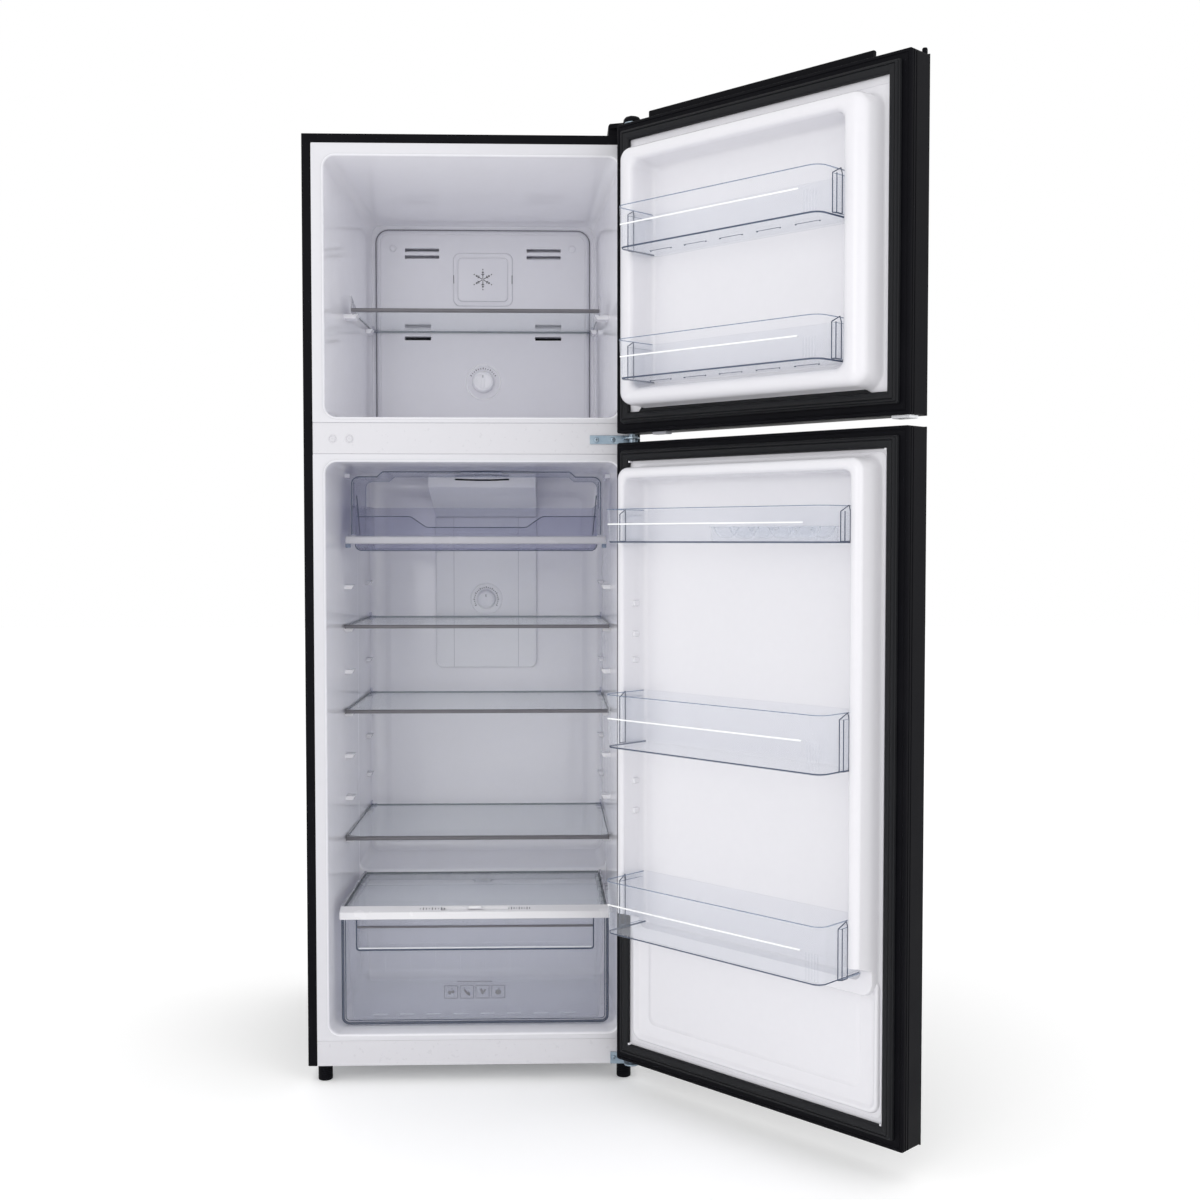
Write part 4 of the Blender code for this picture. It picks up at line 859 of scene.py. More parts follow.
def duct_cover():
    low, high = span("air_duct_cover")
    half = high.x
    face = span("fridge_dial")[1].y - 0.007 + 0.0003
    bottom, bend, brow, top = low.z, 1.035, 1.090, high.z
    radius = 0.014
    right_side = arc(half - radius, bottom + radius, radius, -90, 0, 8)
    right_side += [(half, z) for z in (0.80, 0.90, bend - 0.004)]
    plate = right_side + flipped(right_side)
    edge = 0.003
    rings = [upright(plate, high.y)]
    for rise, run in quarter_turn(4):
        rings.append(upright(inset(plate, edge * (1 - run)), face + edge - edge * rise))
    tower = loft(rings)
    grooves = mirrored(box(0.0686, 0.0694, face - 0.00005, face + 0.0005, bottom + 0.002, bend - 0.006, 1))
    window = rounded(-0.0205, 0.0205, 0.7745, 0.7885, 0.0022, 4)
    section = ((0.0, 0.0004), (0.0, -0.0009), (0.0010, -0.0011), (0.0018, -0.0004))
    window_frame = loft([upright(inset(window, shrink), face + depth) for shrink, depth in section])
    piece("duct_tower", combine(tower, grooves, window_frame), "cabinet",
          ["white_plastic", "soft_marking"], ["air_duct_cover"])
    nose = low.y
    profile = [(high.y, top), (nose, top), (nose, brow + 0.003), (nose + 0.0018, brow - 0.0015),
               (nose + 0.006, brow - 0.004), (face - 0.006, bend + 0.002), (face, bend - 0.001),
               (face + 0.0006, bend - 0.003), (high.y, bend - 0.003)]
    head = piece("duct_head", soft_bar(profile, -half, half, 0.0004, 0.0012), "cabinet",
                 ["white_plastic", "recess_shade"])
    mouth = [(-0.055 + 0.011 * i, 1.1046 - 0.0016 * sin(pi * i / 10)) for i in range(11)]
    upper = [(x, z + 0.0018) for x, z in mouth]
    lower = [(x, z - 0.0018) for x, z in mouth]
    slot = lower + upper[::-1]
    carve(head, extrude_y(slot, nose - 0.01, nose + 0.018))
    # The floor of the shallow air mouth takes painted shade, standing in for the dark opening behind it.
    inner = nose + 0.0175
    for polygon in head.data.polygons:
        if abs(polygon.center.y - inner - 0.0005) < 0.0007 and abs(polygon.normal.y) > 0.9:
            polygon.material_index = 1
    knob("fridge_control_dial", "fridge_dial", 0.035)
    dial_scale("fridge_dial", face - 0.0001, 0.0240, 120, 25)
    keep("lamp_lens", "frosted")


def bowl(half, front, back, radii, stations, tags, steps=6):
    """Floor and walls of a drawer; stations lists (shrink, z) from the floor's underside up the
    outside, over the rim and down the inside."""
    rings = []
    for shrink, z in stations:
        corners = tuple(max(radius - shrink, 0.0015) for radius in radii)
        outline = rounded(-half + shrink, half - shrink, front + shrink, back - shrink, corners, steps)
        rings.append(level(outline, z))
    return loft(rings, tags=tags)


def chiller():
    """Clear canopy with dark edge lines, and the tray under it with its front, bar and lip."""
    low, high = span("chiller_housing")
    tray_low, tray_high = span("chiller_tray")
    bar_low, bar_high = span("chiller_handle")
    half = 0.2345
    base, top = low.z, high.z
    step_x, shoulder = 0.180, top - 0.0095

    def arch(shrink):
        outline = [(half - shrink, base)]
        outline += arc(half - 0.015, shoulder - 0.015, 0.015 - shrink, 0, 90, 6)
        outline += [(step_x + 0.006, shoulder - shrink), (step_x - 0.004 - shrink * 0.6, top - shrink)]
        return outline + flipped(outline)

    wall = 0.0022
    section = arch(0.0) + arch(wall)[::-1]
    front, back = low.y, high.y
    rings = [upright(section, front), upright(section, front + 0.0016), upright(section, back)]
    piece("chiller_canopy", loft(rings, tags=[1, 0], cap=1), "cabinet", ["smoky", "clear_edge"],
          ["chiller_housing"])
    beads = [tube(upright(arch(0.0008), front - 0.0002), 0.0009)]
    upright_line = [(0.2290, front + 0.001, z) for z in (base + 0.050, shoulder - 0.010)]
    beads.append(mirrored(tube(upright_line, 0.0007)))
    piece("chiller_canopy_lines", combine(*beads), "cabinet", ["dark_edge"])

    edge_line = [(-0.225, 1.026), (-0.127, 1.026), (-0.121, 1.0245), (-0.095, 1.0065), (-0.089, 1.0055),
                 (0.089, 1.0055), (0.095, 1.0065), (0.121, 1.0245), (0.127, 1.026), (0.225, 1.026)]
    corner = 0.012
    tray_half = 0.227
    lower = arc(tray_half - corner, tray_low.z + corner, corner, -90, 0, 6)
    face = flipped(lower) + lower + edge_line[::-1]
    front_plate = loft([upright(face, tray_low.y + 0.0022), upright(face, tray_low.y + 0.0006),
                        upright(inset(face, 0.0005), tray_low.y)], tags=[1, 1])

    floor, rim = tray_low.z, tray_high.z
    stations = ((0.0125, floor), (0.010, floor), (0.004, floor + 0.0018), (0.0015, floor + 0.006),
                (0.0, rim), (0.0022, rim), (0.0037, floor + 0.007), (0.006, floor + 0.0036),
                (0.012, floor + 0.0022), (0.0145, floor + 0.0022))
    walls = bowl(tray_half, tray_low.y + 0.002, tray_high.y, (0.010,) * 4, stations,
                 [0, 0, 0, 0, 1, 0, 0, 0, 0], 5)
    tray = piece("chiller_drawer_tray", walls, "chiller", ["smoky", "clear_edge"],
                 ["chiller_tray"])
    carve(tray, box(-0.2235, 0.2235, tray_low.y - 0.01, tray_low.y + 0.0080, floor + 0.006, rim + 0.01))
    piece("chiller_tray_front", front_plate, "chiller", ["smoky", "clear_edge"])
    lines = [tube(upright(edge_line, tray_low.y + 0.0004), 0.0009)]
    bend = arc(tray_half - corner, floor + corner + 0.0003, corner - 0.0006, 0, -90, 6)
    under = [(tray_half - 0.0006, 0.974)] + bend
    under += flipped(under)
    lines.append(tube(upright(under, tray_low.y + 0.0002), 0.0010))
    strut = [(0.2190, tray_low.y + 0.012, floor + 0.030), (0.2255, tray_low.y + 0.016, rim + 0.018)]
    lines.append(mirrored(tube(strut, 0.0011)))
    piece("chiller_tray_lines", combine(*lines), "chiller", ["dark_edge"])
    bar = rounded(bar_low.y, bar_high.y, bar_low.z, bar_high.z, 0.0034, 6)
    handle = soft_bar(bar, bar_low.x, bar_high.x, 0.0012, 0.0016)
    piece("chiller_front_bar", handle, "chiller", ["light_trim"], ["chiller_handle"])
    strip = box(bar_low.x + 0.004, bar_high.x - 0.004, bar_low.y + 0.003, bar_high.y + 0.002,
                bar_high.z - 0.0005, bar_high.z + 0.0050)
    piece("chiller_bar_lip", strip, "chiller", ["clear"], bevel=0.0008)
    ends = mirrored(box(bar_high.x - 0.0085, bar_high.x + 0.0002, bar_low.y + 0.002, bar_high.y + 0.003,
                        bar_low.z - 0.0070, bar_low.z + 0.0004))
    piece("chiller_bar_ends", ends, "chiller", ["clear_edge"], bevel=0.001)


# Crisper

MARKS = 9


def crisper_cover():
    """Lid of the crisper: front bar with its slot, marks and slider, side rails and glass."""
    glass_low, glass_high, front, back = glass_pane("crisper_glass", "crisper_cover_glass")
    low, high = span("crisper_cover_frame")
    rear_half = max(p.x for p in vertices_of("crisper_cover_frame") if p.y > high.y - 0.001)
    half = high.x
    bar_back = low.y + 0.0182
    brow = low.z + 0.0130
    slope = (high.z - brow) / (bar_back - low.y)
    bar = arc(low.y + 0.0015, low.z + 0.0015, 0.0015, 180, 270, 4)
    bar += [(bar_back, low.z), (bar_back, high.z - 0.0006), (bar_back - 0.0006, high.z)]
    bar += arc(low.y + 0.0025, brow - 0.0013, 0.0025, 110, 180, 5)
    front_bar = soft_bar(bar, -half, half, 0.0005, 0.0012)
    item = piece("crisper_cover_bar", front_bar, "cabinet", ["white_trim"],
                 ["crisper_cover_frame"])
    slot = rounded(-0.0625, 0.0625, low.y + 0.0040, bar_back - 0.0040, 0.0022, 4)
    carve(item, extrude_z(slot, high.z - 0.0062, high.z + 0.01))
    rail_top = glass_low.z - 0.0003
    side_rail = [(half - 0.0005, bar_back - 0.002), (rear_half, high.y),
                 (rear_half - 0.0125, high.y), (half - 0.0135, bar_back - 0.002)]
    lip = [(half - 0.0002, bar_back - 0.001), (rear_half + 0.0003, high.y),
           (rear_half - 0.0040, high.y), (half - 0.0045, bar_back - 0.001)]
    rails = [mirrored(extrude_z(side_rail, rail_top - 0.011, rail_top)),
             mirrored(extrude_z(lip, rail_top - 0.002, glass_high.z + 0.0010))]
    rails.append(box(-rear_half + 0.010, rear_half - 0.010, high.y - 0.015, high.y, rail_top - 0.011,
                     rail_top))
    notch = [(-0.016, high.y - 0.016), (0.016, high.y - 0.016), (0.020, high.y), (-0.020, high.y)]
    rails.append(extrude_z(notch, rail_top - 0.0165, rail_top - 0.0105))
    piece("crisper_cover_rails", combine(*rails), "cabinet", ["light_trim"], bevel=0.0008)
    border = mirrored(tube([(front - 0.001, glass_low.y + 0.002, glass_high.z - 0.0012),
                            (back - 0.001, glass_high.y - 0.002, glass_high.z - 0.0012)], 0.0009))
    far = tube([(-back + 0.003, glass_high.y - 0.001, glass_high.z - 0.0016),
                (back - 0.003, glass_high.y - 0.001, glass_high.z - 0.0016)], 0.0009)
    piece("crisper_glass_edges", combine(border, far), "cabinet", ["glass_edge"])
    marks = []
    for x0, x1 in ((-0.100, -0.056), (0.062, 0.100)):
        for i in range(MARKS):
            x = x0 + (x1 - x0) * i / (MARKS - 1)
            length = 0.0022 + 0.0022 * ((i * 5) % 3)
            marks.append(box(x - 0.0009, x + 0.0009, -length / 2, length / 2, -0.0003, 0.0002))
    middle = 0.0092
    tilt = (Matrix.Translation((0, low.y + middle, brow + middle * slope + 0.0004))
            @ Matrix.Rotation(atan(slope), 4, "X"))
    piece("crisper_cover_marks", moved(combine(*marks), tilt), "cabinet", ["faint_marking"])
    low, high = span("humidity_slider")
    outline = rounded(low.x, high.x, low.y, high.y, 0.0022, 5)
    rings = [level(outline, low.z), level(outline, high.z - 0.0010), level(inset(outline, 0.0008), high.z)]
    ribs = [box(x - 0.0006, x + 0.0006, low.y + 0.0012, high.y - 0.0012, high.z - 0.0002, high.z + 0.0007)
            for x in (-0.005, -0.0025, 0.0, 0.0025, 0.005)]
    piece("humidity_knob", combine(loft(rings), *ribs), "humidity_slider", ["white_trim"],
          ["humidity_slider"])


# Each drawing's ovals: centre across and up, half width, half height and lean in radians
DRAWINGS = (
    ((-0.0028, -0.001, 0.0032, 0.0036, 0.0), (0.0032, 0.0004, 0.0034, 0.0030, 0.0),
     (0.0012, 0.0058, 0.0020, 0.0008, 0.6)),
    ((-0.0010, -0.0004, 0.0072, 0.0021, -0.9), (-0.0042, 0.0070, 0.0018, 0.0007, 1.9),
     (0.0040, -0.0034, 0.0020, 0.0042, 0.3)),
    ((-0.0010, 0.0006, 0.0026, 0.0060, 0.35), (0.0036, 0.0018, 0.0018, 0.0038, -0.5)),
    ((0.0, -0.0006, 0.0054, 0.0050, 0.0), (0.0014, 0.0062, 0.0020, 0.0008, 0.5)),
)
INK = 0.0002


def oval(cx, cz, y, wide, high, lean):
    """A thin oval of ink."""
    angles = [2 * pi * k / 18 for k in range(18)]
    ring = [(cx + wide * cos(a) * cos(lean) - high * sin(a) * sin(lean),
             cz + wide * cos(a) * sin(lean) + high * sin(a) * cos(lean)) for a in angles]
    return extrude_y(ring, y, y - INK)


def pictograms(x0, x1, z0, z1, y):
    """Small framed fruit and vegetable drawings without letters, side by side."""
    gap = 0.0035
    size = (x1 - x0 - gap * (len(DRAWINGS) - 1)) / len(DRAWINGS)
    ink = []
    for number, ovals in enumerate(DRAWINGS):
        left = x0 + number * (size + gap)
        outer = rounded(left, left + size, z0, z1, 0.0012, 3)
        inner = inset(outer, 0.0011)
        section = ((outer, y), (outer, y - INK), (inner, y - INK), (inner, y))
        ink.append(loft([upright(outline, depth) for outline, depth in section], True))
        for across, up, wide, high, lean in ovals:
            ink.append(oval(left + size / 2 + across, (z0 + z1) / 2 + up, y, wide, high, lean))
    return combine(*ink)


def crisper_drawer():
    """Front plate with a scooped handle, drawings and dark edges, and the tub behind it."""
    low, high = span("crisper_drawer")
    half, floor, top, face = high.x, low.z, high.z, low.y
    back = high.y
    radius = 0.014
    scoop_half, scoop_low = 0.2175, 0.229
    corner = arc(half - radius, floor + radius, radius, -90, 0, 8)
    outer = flipped(corner) + corner + [(half, top)]
    notch = arc(scoop_half - 0.005, scoop_low + 0.005, 0.005, 0, -90, 4)
    opening = [(scoop_half, top)] + notch + flipped(notch) + [(-scoop_half, top)]
    outline = outer + opening + [(-half, top)]
    depth = 0.0078
    section = ((0.0016, depth), (0.0, depth), (0.0, 0.0022), (0.0010, 0.0006), (0.0028, 0.0), (0.0044, 0.0))
    rings = [upright(inset(outline, shrink), face + back_off) for shrink, back_off in section]
    plate = loft(rings, tags=[0, 1, 1, 0, 0])
    piece("crisper_front_plate", plate, "crisper", ["crisper", "clear_edge"],
          ["crisper_drawer"])

    curve = [(face + 0.0010, scoop_low + 0.0006), (face + 0.0070, scoop_low + 0.0030),
             (face + 0.0130, scoop_low + 0.0100), (face + 0.0155, scoop_low + 0.0200),
             (face + 0.0160, scoop_low + 0.0400), (face + 0.0150, scoop_low + 0.0415),
             (face + 0.0040, scoop_low + 0.0422), (face + 0.0030, scoop_low + 0.0440),
             (face + 0.0030, top - 0.0002)]
    skin = curve + [(y + 0.0020, z) for y, z in reversed(curve)]
    wide = scoop_half - 0.0008
    scoop = loft([sideways(skin, -wide), sideways(skin, wide)], tags=[0], cap=1)
    piece("crisper_scoop", scoop, "crisper", ["crisper", "clear_edge"])

    def edge_line(shrink):
        """The plate's sides and foot, open at the top."""
        line = inset(outer + [(-half, top)], shrink)[:-1]
        side = line.pop()[0]
        return [(-side, top - 0.001)] + line + [(side, top - 0.001)]

    up_notch = notch[::-1]
    scoop_line = [(-scoop_half, top - 0.001)] + flipped(up_notch) + up_notch + [(scoop_half, top - 0.001)]
    loops = [tube(upright(edge_line(0.0024), face + 0.0028), 0.0026, 8),
             tube(upright(edge_line(0.0072), face + 0.0045), 0.0009),
             tube(upright(scoop_line, face + 0.0004), 0.0012, 8)]
    piece("crisper_dark_edges", combine(*loops), "crisper", ["dark_edge"])
    lip_z = scoop_low + 0.0420
    rail = rounded(face + 0.0006, face + 0.0060, lip_z - 0.0016, lip_z + 0.0018, 0.0012, 4)
    piece("crisper_scoop_lip", extrude_x(rail, -wide, wide), "crisper", ["grey_trim"])
    # Painted highlight: a thin near-white bar along the foot of the scoop.
    scoop_highlight = rounded(face + 0.0010, face + 0.0030, scoop_low + 0.0020, scoop_low + 0.0042, 0.0008, 3)
    piece("crisper_scoop_foot", extrude_x(scoop_highlight, -wide + 0.003, wide - 0.003), "crisper", ["frosted"])
    piece("crisper_pictograms", pictograms(-0.0575, 0.0545, 0.138, 0.1625, face - 0.0001), "crisper",
          ["faint_marking"])
    stripe = box(-0.034, 0.031, face - 0.0003, face - 0.0001, 0.1690, 0.1702)
    piece("crisper_mark_line", stripe, "crisper", ["faint_marking"])

    stations = ((0.0210, floor + 0.002), (0.0180, floor + 0.002), (0.0120, floor + 0.0040),
                (0.0095, floor + 0.0090), (0.0050, 0.190), (0.0004, top - 0.0040), (0.0, top - 0.001),
                (0.0025, top - 0.001), (0.0075, 0.190), (0.0120, floor + 0.0110), (0.0145, floor + 0.0062),
                (0.0200, floor + 0.0045), (0.0225, floor + 0.0045))
    tub_walls = bowl(0.238, face + depth + 0.0004, back, (0.006, 0.014, 0.014, 0.006), stations,
                     [0, 0, 0, 0, 0, 0, 1, 0, 0, 0, 0, 0])
    piece("crisper_tub", tub_walls, "crisper", ["crisper", "clear_edge"])
    ribs = []
    for i in range(8):
        x = -0.180 + 0.050 * i
        ribs.append(box(x - 0.0130, x + 0.0130, 0.0850, 0.0875, floor + 0.0052, floor + 0.0066))
        ribs.append(box(x - 0.0150, x - 0.0142, back - 0.0115, back - 0.0095, floor + 0.010, 0.170))
    ribs.append(box(-0.190, 0.190, back - 0.0105, back - 0.0095, 0.1700, 0.1710))
    piece("crisper_tub_ribs", combine(*ribs), "crisper", ["frosted"], bevel=0.0003)


# Doors

DOOR_TOP = 1.708
DOOR_FLOOR = -0.0085
FLANGE_INSET = 0.0022
DROP = 0.012


def door_edge(name, frame_node, panel_node, foam_node):
    """Moulded frame with two fine grooves in its edge, and the flat front sheet."""
    low, high = span(frame_node)
    z0, z1 = low.z, min(high.z, DOOR_TOP)
    front, back = low.y, high.y
    half, lip = high.x, 0.0200

    def outline(shrink, radius=0.004):
        corner = max(radius - shrink, 0.0008)
        return rounded(-half + shrink, half - shrink, z0 + shrink, z1 - shrink, corner, 4)

    section = [(0.0, front)]
    for groove in (back - 0.0125, back - 0.0062):
        section += [(0.0, groove - 0.0014), (0.0012, groove - 0.0008), (0.0012, groove + 0.0008),
                    (0.0, groove + 0.0014)]
    section += [(0.0, back - 0.0020), (0.0006, back - 0.0006), (0.0020, back), (0.0050, back),
                (0.0058, back - 0.0010), (0.0070, back - 0.0010), (0.0078, back), (lip, back),
                (lip, back - 0.002), (0.010, back - 0.002), (0.010, front)]
    rings = [upright(outline(shrink), y) for shrink, y in section]
    body = frame["nodes"][frame_node]["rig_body"]
    item = piece(f"{name}_edge_frame", loft(rings, True), body, ["black_plastic"],
                 [frame_node])
    bore = turned([(0.0056, z0 - 0.01), (0.0056, z1 + 0.01)], 24)
    carve(item, shifted(bore, PIN_X, PIN_Y, 0.0))
    ring = [(0.0058, -0.0006), (0.0096, -0.0006), (0.0100, 0.0), (0.0096, 0.0006), (0.0058, 0.0006)]
    collars = [shifted(turned(ring, 28, True), PIN_X, PIN_Y, z) for z in (z0, z1)]
    piece(f"{name}_pin_collars", combine(*collars), body, ["grey_trim"])
    panel_low, panel_high = span(panel_node)
    sheet = rounded(panel_low.x, panel_high.x, panel_low.y, panel_high.y, (0.0036, 0.0008, 0.0008, 0.0036))
    piece(f"{name}_front_sheet", soft_block(sheet, z0, z1, 0.0006), body, ["black_steel"],
          [panel_node])
    keep(foam_node, "foam")
    return z0, z1


def seal(name, node):
    """Door seal: a flat foot, a soft bellows and two fine ridges, mitred at the corners."""
    low, high = span(node)
    body = frame["nodes"][node]["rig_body"]
    wide = high.x - 0.265
    back, crown = low.y, high.y
    height = crown - back
    section = [(0.0, 0.10), (0.0006, 0.45), (0.0022, 0.52), (0.0026, 0.80), (0.0034, 0.97), (0.0050, 1.0),
               (0.0062, 0.93), (0.0068, 0.78), (0.0076, 0.90), (0.0090, 0.95), (wide - 0.0040, 0.80),
               (wide - 0.0018, 0.70), (wide - 0.0004, 0.45), (wide, 0.15), (wide - 0.002, 0.0),
               (0.001, 0.0)]
    foot_gap = 0.0003
    rings = []
    for along, lift in section:
        upward = along * 1.02
        outline = rounded(low.x + along, high.x - along, low.z + upward + foot_gap, high.z - upward,
                          max(0.0012, 0.003 - along * 0.2), 3)
        rings.append(upright(outline, back + height * lift))
    piece(name, loft(rings, True), body, ["gasket"], [node], angle=45)


def with_side_points(outline, right):
    """A rounded outline with extra points on its right side and, mirrored, on its left."""
    quarter = len(outline) // 4
    lower, middle, upper = outline[:quarter], outline[quarter:3 * quarter], outline[3 * quarter:]
    return lower + right + middle + flipped(right) + upper


def flange_rings(node, side_points=None):
    """Rings of the thin flange around a door liner, the y of its face and the y of the liner's crown."""
    low, high = span(node)
    y = low.y + FLANGE
    outline = rounded(low.x + FLANGE_INSET, high.x - FLANGE_INSET, low.z + FLANGE_INSET,
                      high.z - FLANGE_INSET, 0.0008, 8)
    if side_points:
        outline = with_side_points(outline, [(high.x - FLANGE_INSET, z) for z in side_points])
    return [upright(outline, y - FLANGE), upright(outline, y)], y, high.y


def raised_border(half, bottom, top, crown, floor, border, border_z, base, drop_z=None, low_y=None,
                  outer_round=0.010, inner_round=0.008, corner=0.024):
    """Rings over a liner's raised border, from its outer foot up, across and down to the floor.
    Below drop_z the border is no higher than low_y."""

    def ring(dx, dz, y, radius):
        outline = rounded(-half + dx, half - dx, bottom + dz, top - dz, max(radius, 0.006), 8)
        if drop_z is None:
            return upright(outline, y)
        full = with_side_points(outline, [(half - dx, drop_z - DROP), (half - dx, drop_z)])
        return [(x, min(y, low_y) if z < drop_z - 0.001 else y, z) for x, z in full]

    lean = border_z / border
    foot = ((0.0085, 0.0), (0.0052, 0.0007), (0.0032, 0.0024), (0.0020, 0.0060), (0.0010, 0.0130))
    rings = [ring(-grow, -grow, base + rise, corner + grow) for grow, rise in foot]
    for rise, run in quarter_turn():
        out = outer_round * (1 - run)
        rings.append(ring(out, out * lean, crown - outer_round + outer_round * rise, corner - out))
    for rise, run in reversed(quarter_turn()):
        back_off = inner_round * (1 - run)
        rings.append(ring(border - back_off, border_z - back_off * lean,
                          crown - inner_round + inner_round * rise, corner * 0.62))
    depth = crown - inner_round - floor
    for share, inwards in ((0.6, 0.0025), (0.86, 0.0048), (0.96, 0.0078), (1.0, 0.0120)):
        rings.append(ring(border + inwards, border_z + inwards, crown - inner_round - depth * share,
                          corner * 0.55))
    return rings


def freezer_door_inside():
    node = "freezer_door_liner"
    rings, flange_y, crown = flange_rings(node)
    rings += raised_border(0.251, 1.2125, 1.650, crown, DOOR_FLOOR, 0.036, 0.028, flange_y,
                           outer_round=0.022, inner_round=0.011)
    piece("freezer_door_lining", loft(rings), "freezer_door", ["door_liner"], [node],
          angle=50)
    line = tube([(-0.262, flange_y + 0.0002, 1.6635), (0.262, flange_y + 0.0002, 1.6635)], 0.0007)
    piece("freezer_door_flange_line", line, "freezer_door", ["door_liner"])
    # A dark strip in the seal's material along the bottom of the lining.
    bottom_strip = [(-0.236, 1.2040), (0.243, 1.2040), (0.236, 1.2118), (-0.222, 1.2118)]
    piece("freezer_door_bottom_strip", slab(bottom_strip, flange_y + 0.0048, flange_y + 0.0002, -0.0001),
          "freezer_door", ["gasket"], bevel=0.0005)


def fridge_door_inside():
    node = "fridge_door_liner"
    drop_z = 0.335
    rings, flange_y, crown = flange_rings(node, (drop_z - DROP, drop_z))
    rings += raised_border(0.251, 0.285, 1.106, crown, DOOR_FLOOR, 0.0185, 0.0185, flange_y, drop_z, 0.002,
                           outer_round=0.0115, inner_round=0.006, corner=0.020)
    piece("fridge_door_lining", loft(rings), "fridge_door", ["door_liner"], [node],
          angle=50)
    ridge = []
    for along, lift in ((-0.0005, 0.0), (0.0004, 0.0030), (0.0020, 0.0052), (0.0045, 0.0058),
                        (0.0070, 0.0050), (0.0100, 0.0010), (0.0130, 0.0004)):
        outline = rounded(-0.2570 + along, 0.2570 - along, 0.1000 + along, 0.3150 - along,
                          0.018 - along * 0.6, 8)
        ridge.append(upright(outline, flange_y + lift))
    inner = []
    for along, lift in ((0.0, 0.0001), (0.004, 0.0022), (0.010, 0.0026)):
        outline = rounded(-0.222 + along, 0.222 - along, 0.132 + along, 0.300 - along, 0.014, 8)
        inner.append(upright(outline, flange_y + lift))
    outer_line = rounded(-0.2605, 0.2605, 0.0945, 1.1150, 0.010, 8)
    trace = tube(upright(outer_line, flange_y + 0.0002), 0.0007, closed=True)
    piece("fridge_door_lower_panel", combine(loft(ridge), loft(inner), trace), "fridge_door",
          ["door_liner"], angle=50)
    lugs = [box(0.2270, 0.2350, 0.006, 0.020, z, z + 0.010) for z in (0.868, 0.815, 0.560, 0.508, 0.770)]
    piece("fridge_door_bin_lugs", combine(*lugs), "fridge_door", ["door_liner"],
          bevel=0.002)
    nub = box(-0.0018, 0.0018, 0.0, 0.0075, -0.0018, 0.0018)
    nubs = [shifted(nub, x, flange_y, z) for x in (-0.2635, 0.2635) for z in (0.0885, 1.1185)]
    piece("fridge_door_corner_nubs", combine(*nubs), "fridge_door", ["door_liner"],
          bevel=0.0008)


def door_bin(name, node, slots=False):
    """Clear bin: tapered walls, rim, dark foot line, pale strip along its front, clips at its ends."""
    low, high = span(node)
    body = frame["nodes"][node]["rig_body"]
    half, back, front, floor, rim = high.x, low.y, high.y, low.z, high.z
    wall, taper, corner = 0.0022, 0.004, 0.020

    def ring(shrink, z, rear=0.0):
        radii = (0.003, max(0.004, corner - shrink), max(0.004, corner - shrink), 0.003)
        return level(rounded(-half + shrink, half - shrink, back + rear, front - shrink, radii, 8), z)

    def at(z):
        return taper * (rim - z) / (rim - floor)

    mid = floor + 0.008
    outside = ((taper + 0.0070, floor), (taper + 0.0034, floor), (taper + 0.0008, floor + 0.0014),
               (at(floor + 0.004), floor + 0.004), (at(mid), mid), (0.0006, rim - 0.0040),
               (0.0, rim - 0.0012), (0.0004, rim))
    inside = ((-0.0004, rim), (0.0, rim - 0.0012), (at(mid), mid), (taper + 0.0006, floor + 0.0040),
              (taper + 0.003, floor + 0.0026), (taper + 0.006, floor + 0.0026))
    rings = [ring(shrink, z) for shrink, z in outside]
    rings += [ring(wall + shrink, z, wall) for shrink, z in inside]
    tags = [0, 0, 1, 0, 0, 0, 2, 2, 2, 0, 0, 0, 0]
    points, faces, marks = loft(rings, tags=tags)
    marks = [mark if max(points[i][1] for i in face) > back + 0.012 else 0
             for face, mark in zip(faces, marks)]
    item = piece(name, (points, faces, marks), body, ["clear", "dark_edge", "clear_edge"],
                 [node])
    if slots:
        places = [half * 0.36 * (i - 2) for i in range(5)]
        holes = [box(x - 0.022, x + 0.022, 0.036, 0.041, floor - 0.01, floor + 0.01) for x in places]
        carve(item, combine(*holes))
        dashes = []
        for x in places:
            dashes.append(tube([(x - 0.022, 0.0415, floor), (x + 0.022, 0.0415, floor)], 0.0005))
            for side in (-1, 1):
                ends = [(x + side * reach, 0.0385, floor) for reach in (0.0215, 0.0235)]
                dashes.append(tube(ends, 0.0011))
        piece(f"{name}_floor_slots", combine(*dashes), body, ["dark_edge"])
    strip_z = floor + (rim - floor) * 0.56
    slope = at(strip_z)
    pale = rounded(-half + 0.040, half - 0.012, strip_z - 0.0011, strip_z + 0.0011, 0.0010, 3)
    strip = extrude_y(pale, front - slope - 0.0012, front - slope + 0.0007)
    piece(f"{name}_pale_strip", strip, body, ["bright_strip"])
    hook, hook_end = 0.0375, 0.0545
    outer, foot, head = half + 0.0042, floor + 0.004, rim - 0.009
    outline = [(half - 0.0004, back + 0.0005), (outer, back + 0.0005), (outer, hook_end - 0.0030),
               (half - 0.0004, hook_end + 0.0020)]
    clips = [loft([level(outline, foot), level(outline, rim - 0.010)], cap=1)]
    for k in range(5):
        x = half - 0.012 - 0.0055 * k
        clips.append(box(x, x + 0.0012, front - 0.0052 - taper, front - 0.0028 - taper, floor + 0.006,
                         floor + (rim - floor) * 0.52))
    lines = []
    for side in (-1, 1):
        for x, y in ((outer, hook), (outer, hook_end - 0.0030), (half, hook_end + 0.0020)):
            lines.append(tube([(side * x, y, foot), (side * x, y, head)], 0.0008))
        lines.append(tube([(side * outer, hook, head), (side * (half + 0.0030), hook + 0.002, rim),
                           (side * (half + 0.0004), hook_end + 0.002, head)], 0.0009))
        lines.append(tube([(side * outer, hook, foot), (side * outer, hook_end - 0.003, foot),
                           (side * half, hook_end + 0.002, foot)], 0.0009))
    piece(f"{name}_end_clips", mirrored(combine(*clips)), body, ["clear", "clear_edge"])
    piece(f"{name}_end_lines", combine(*lines), body, ["dark_edge"])


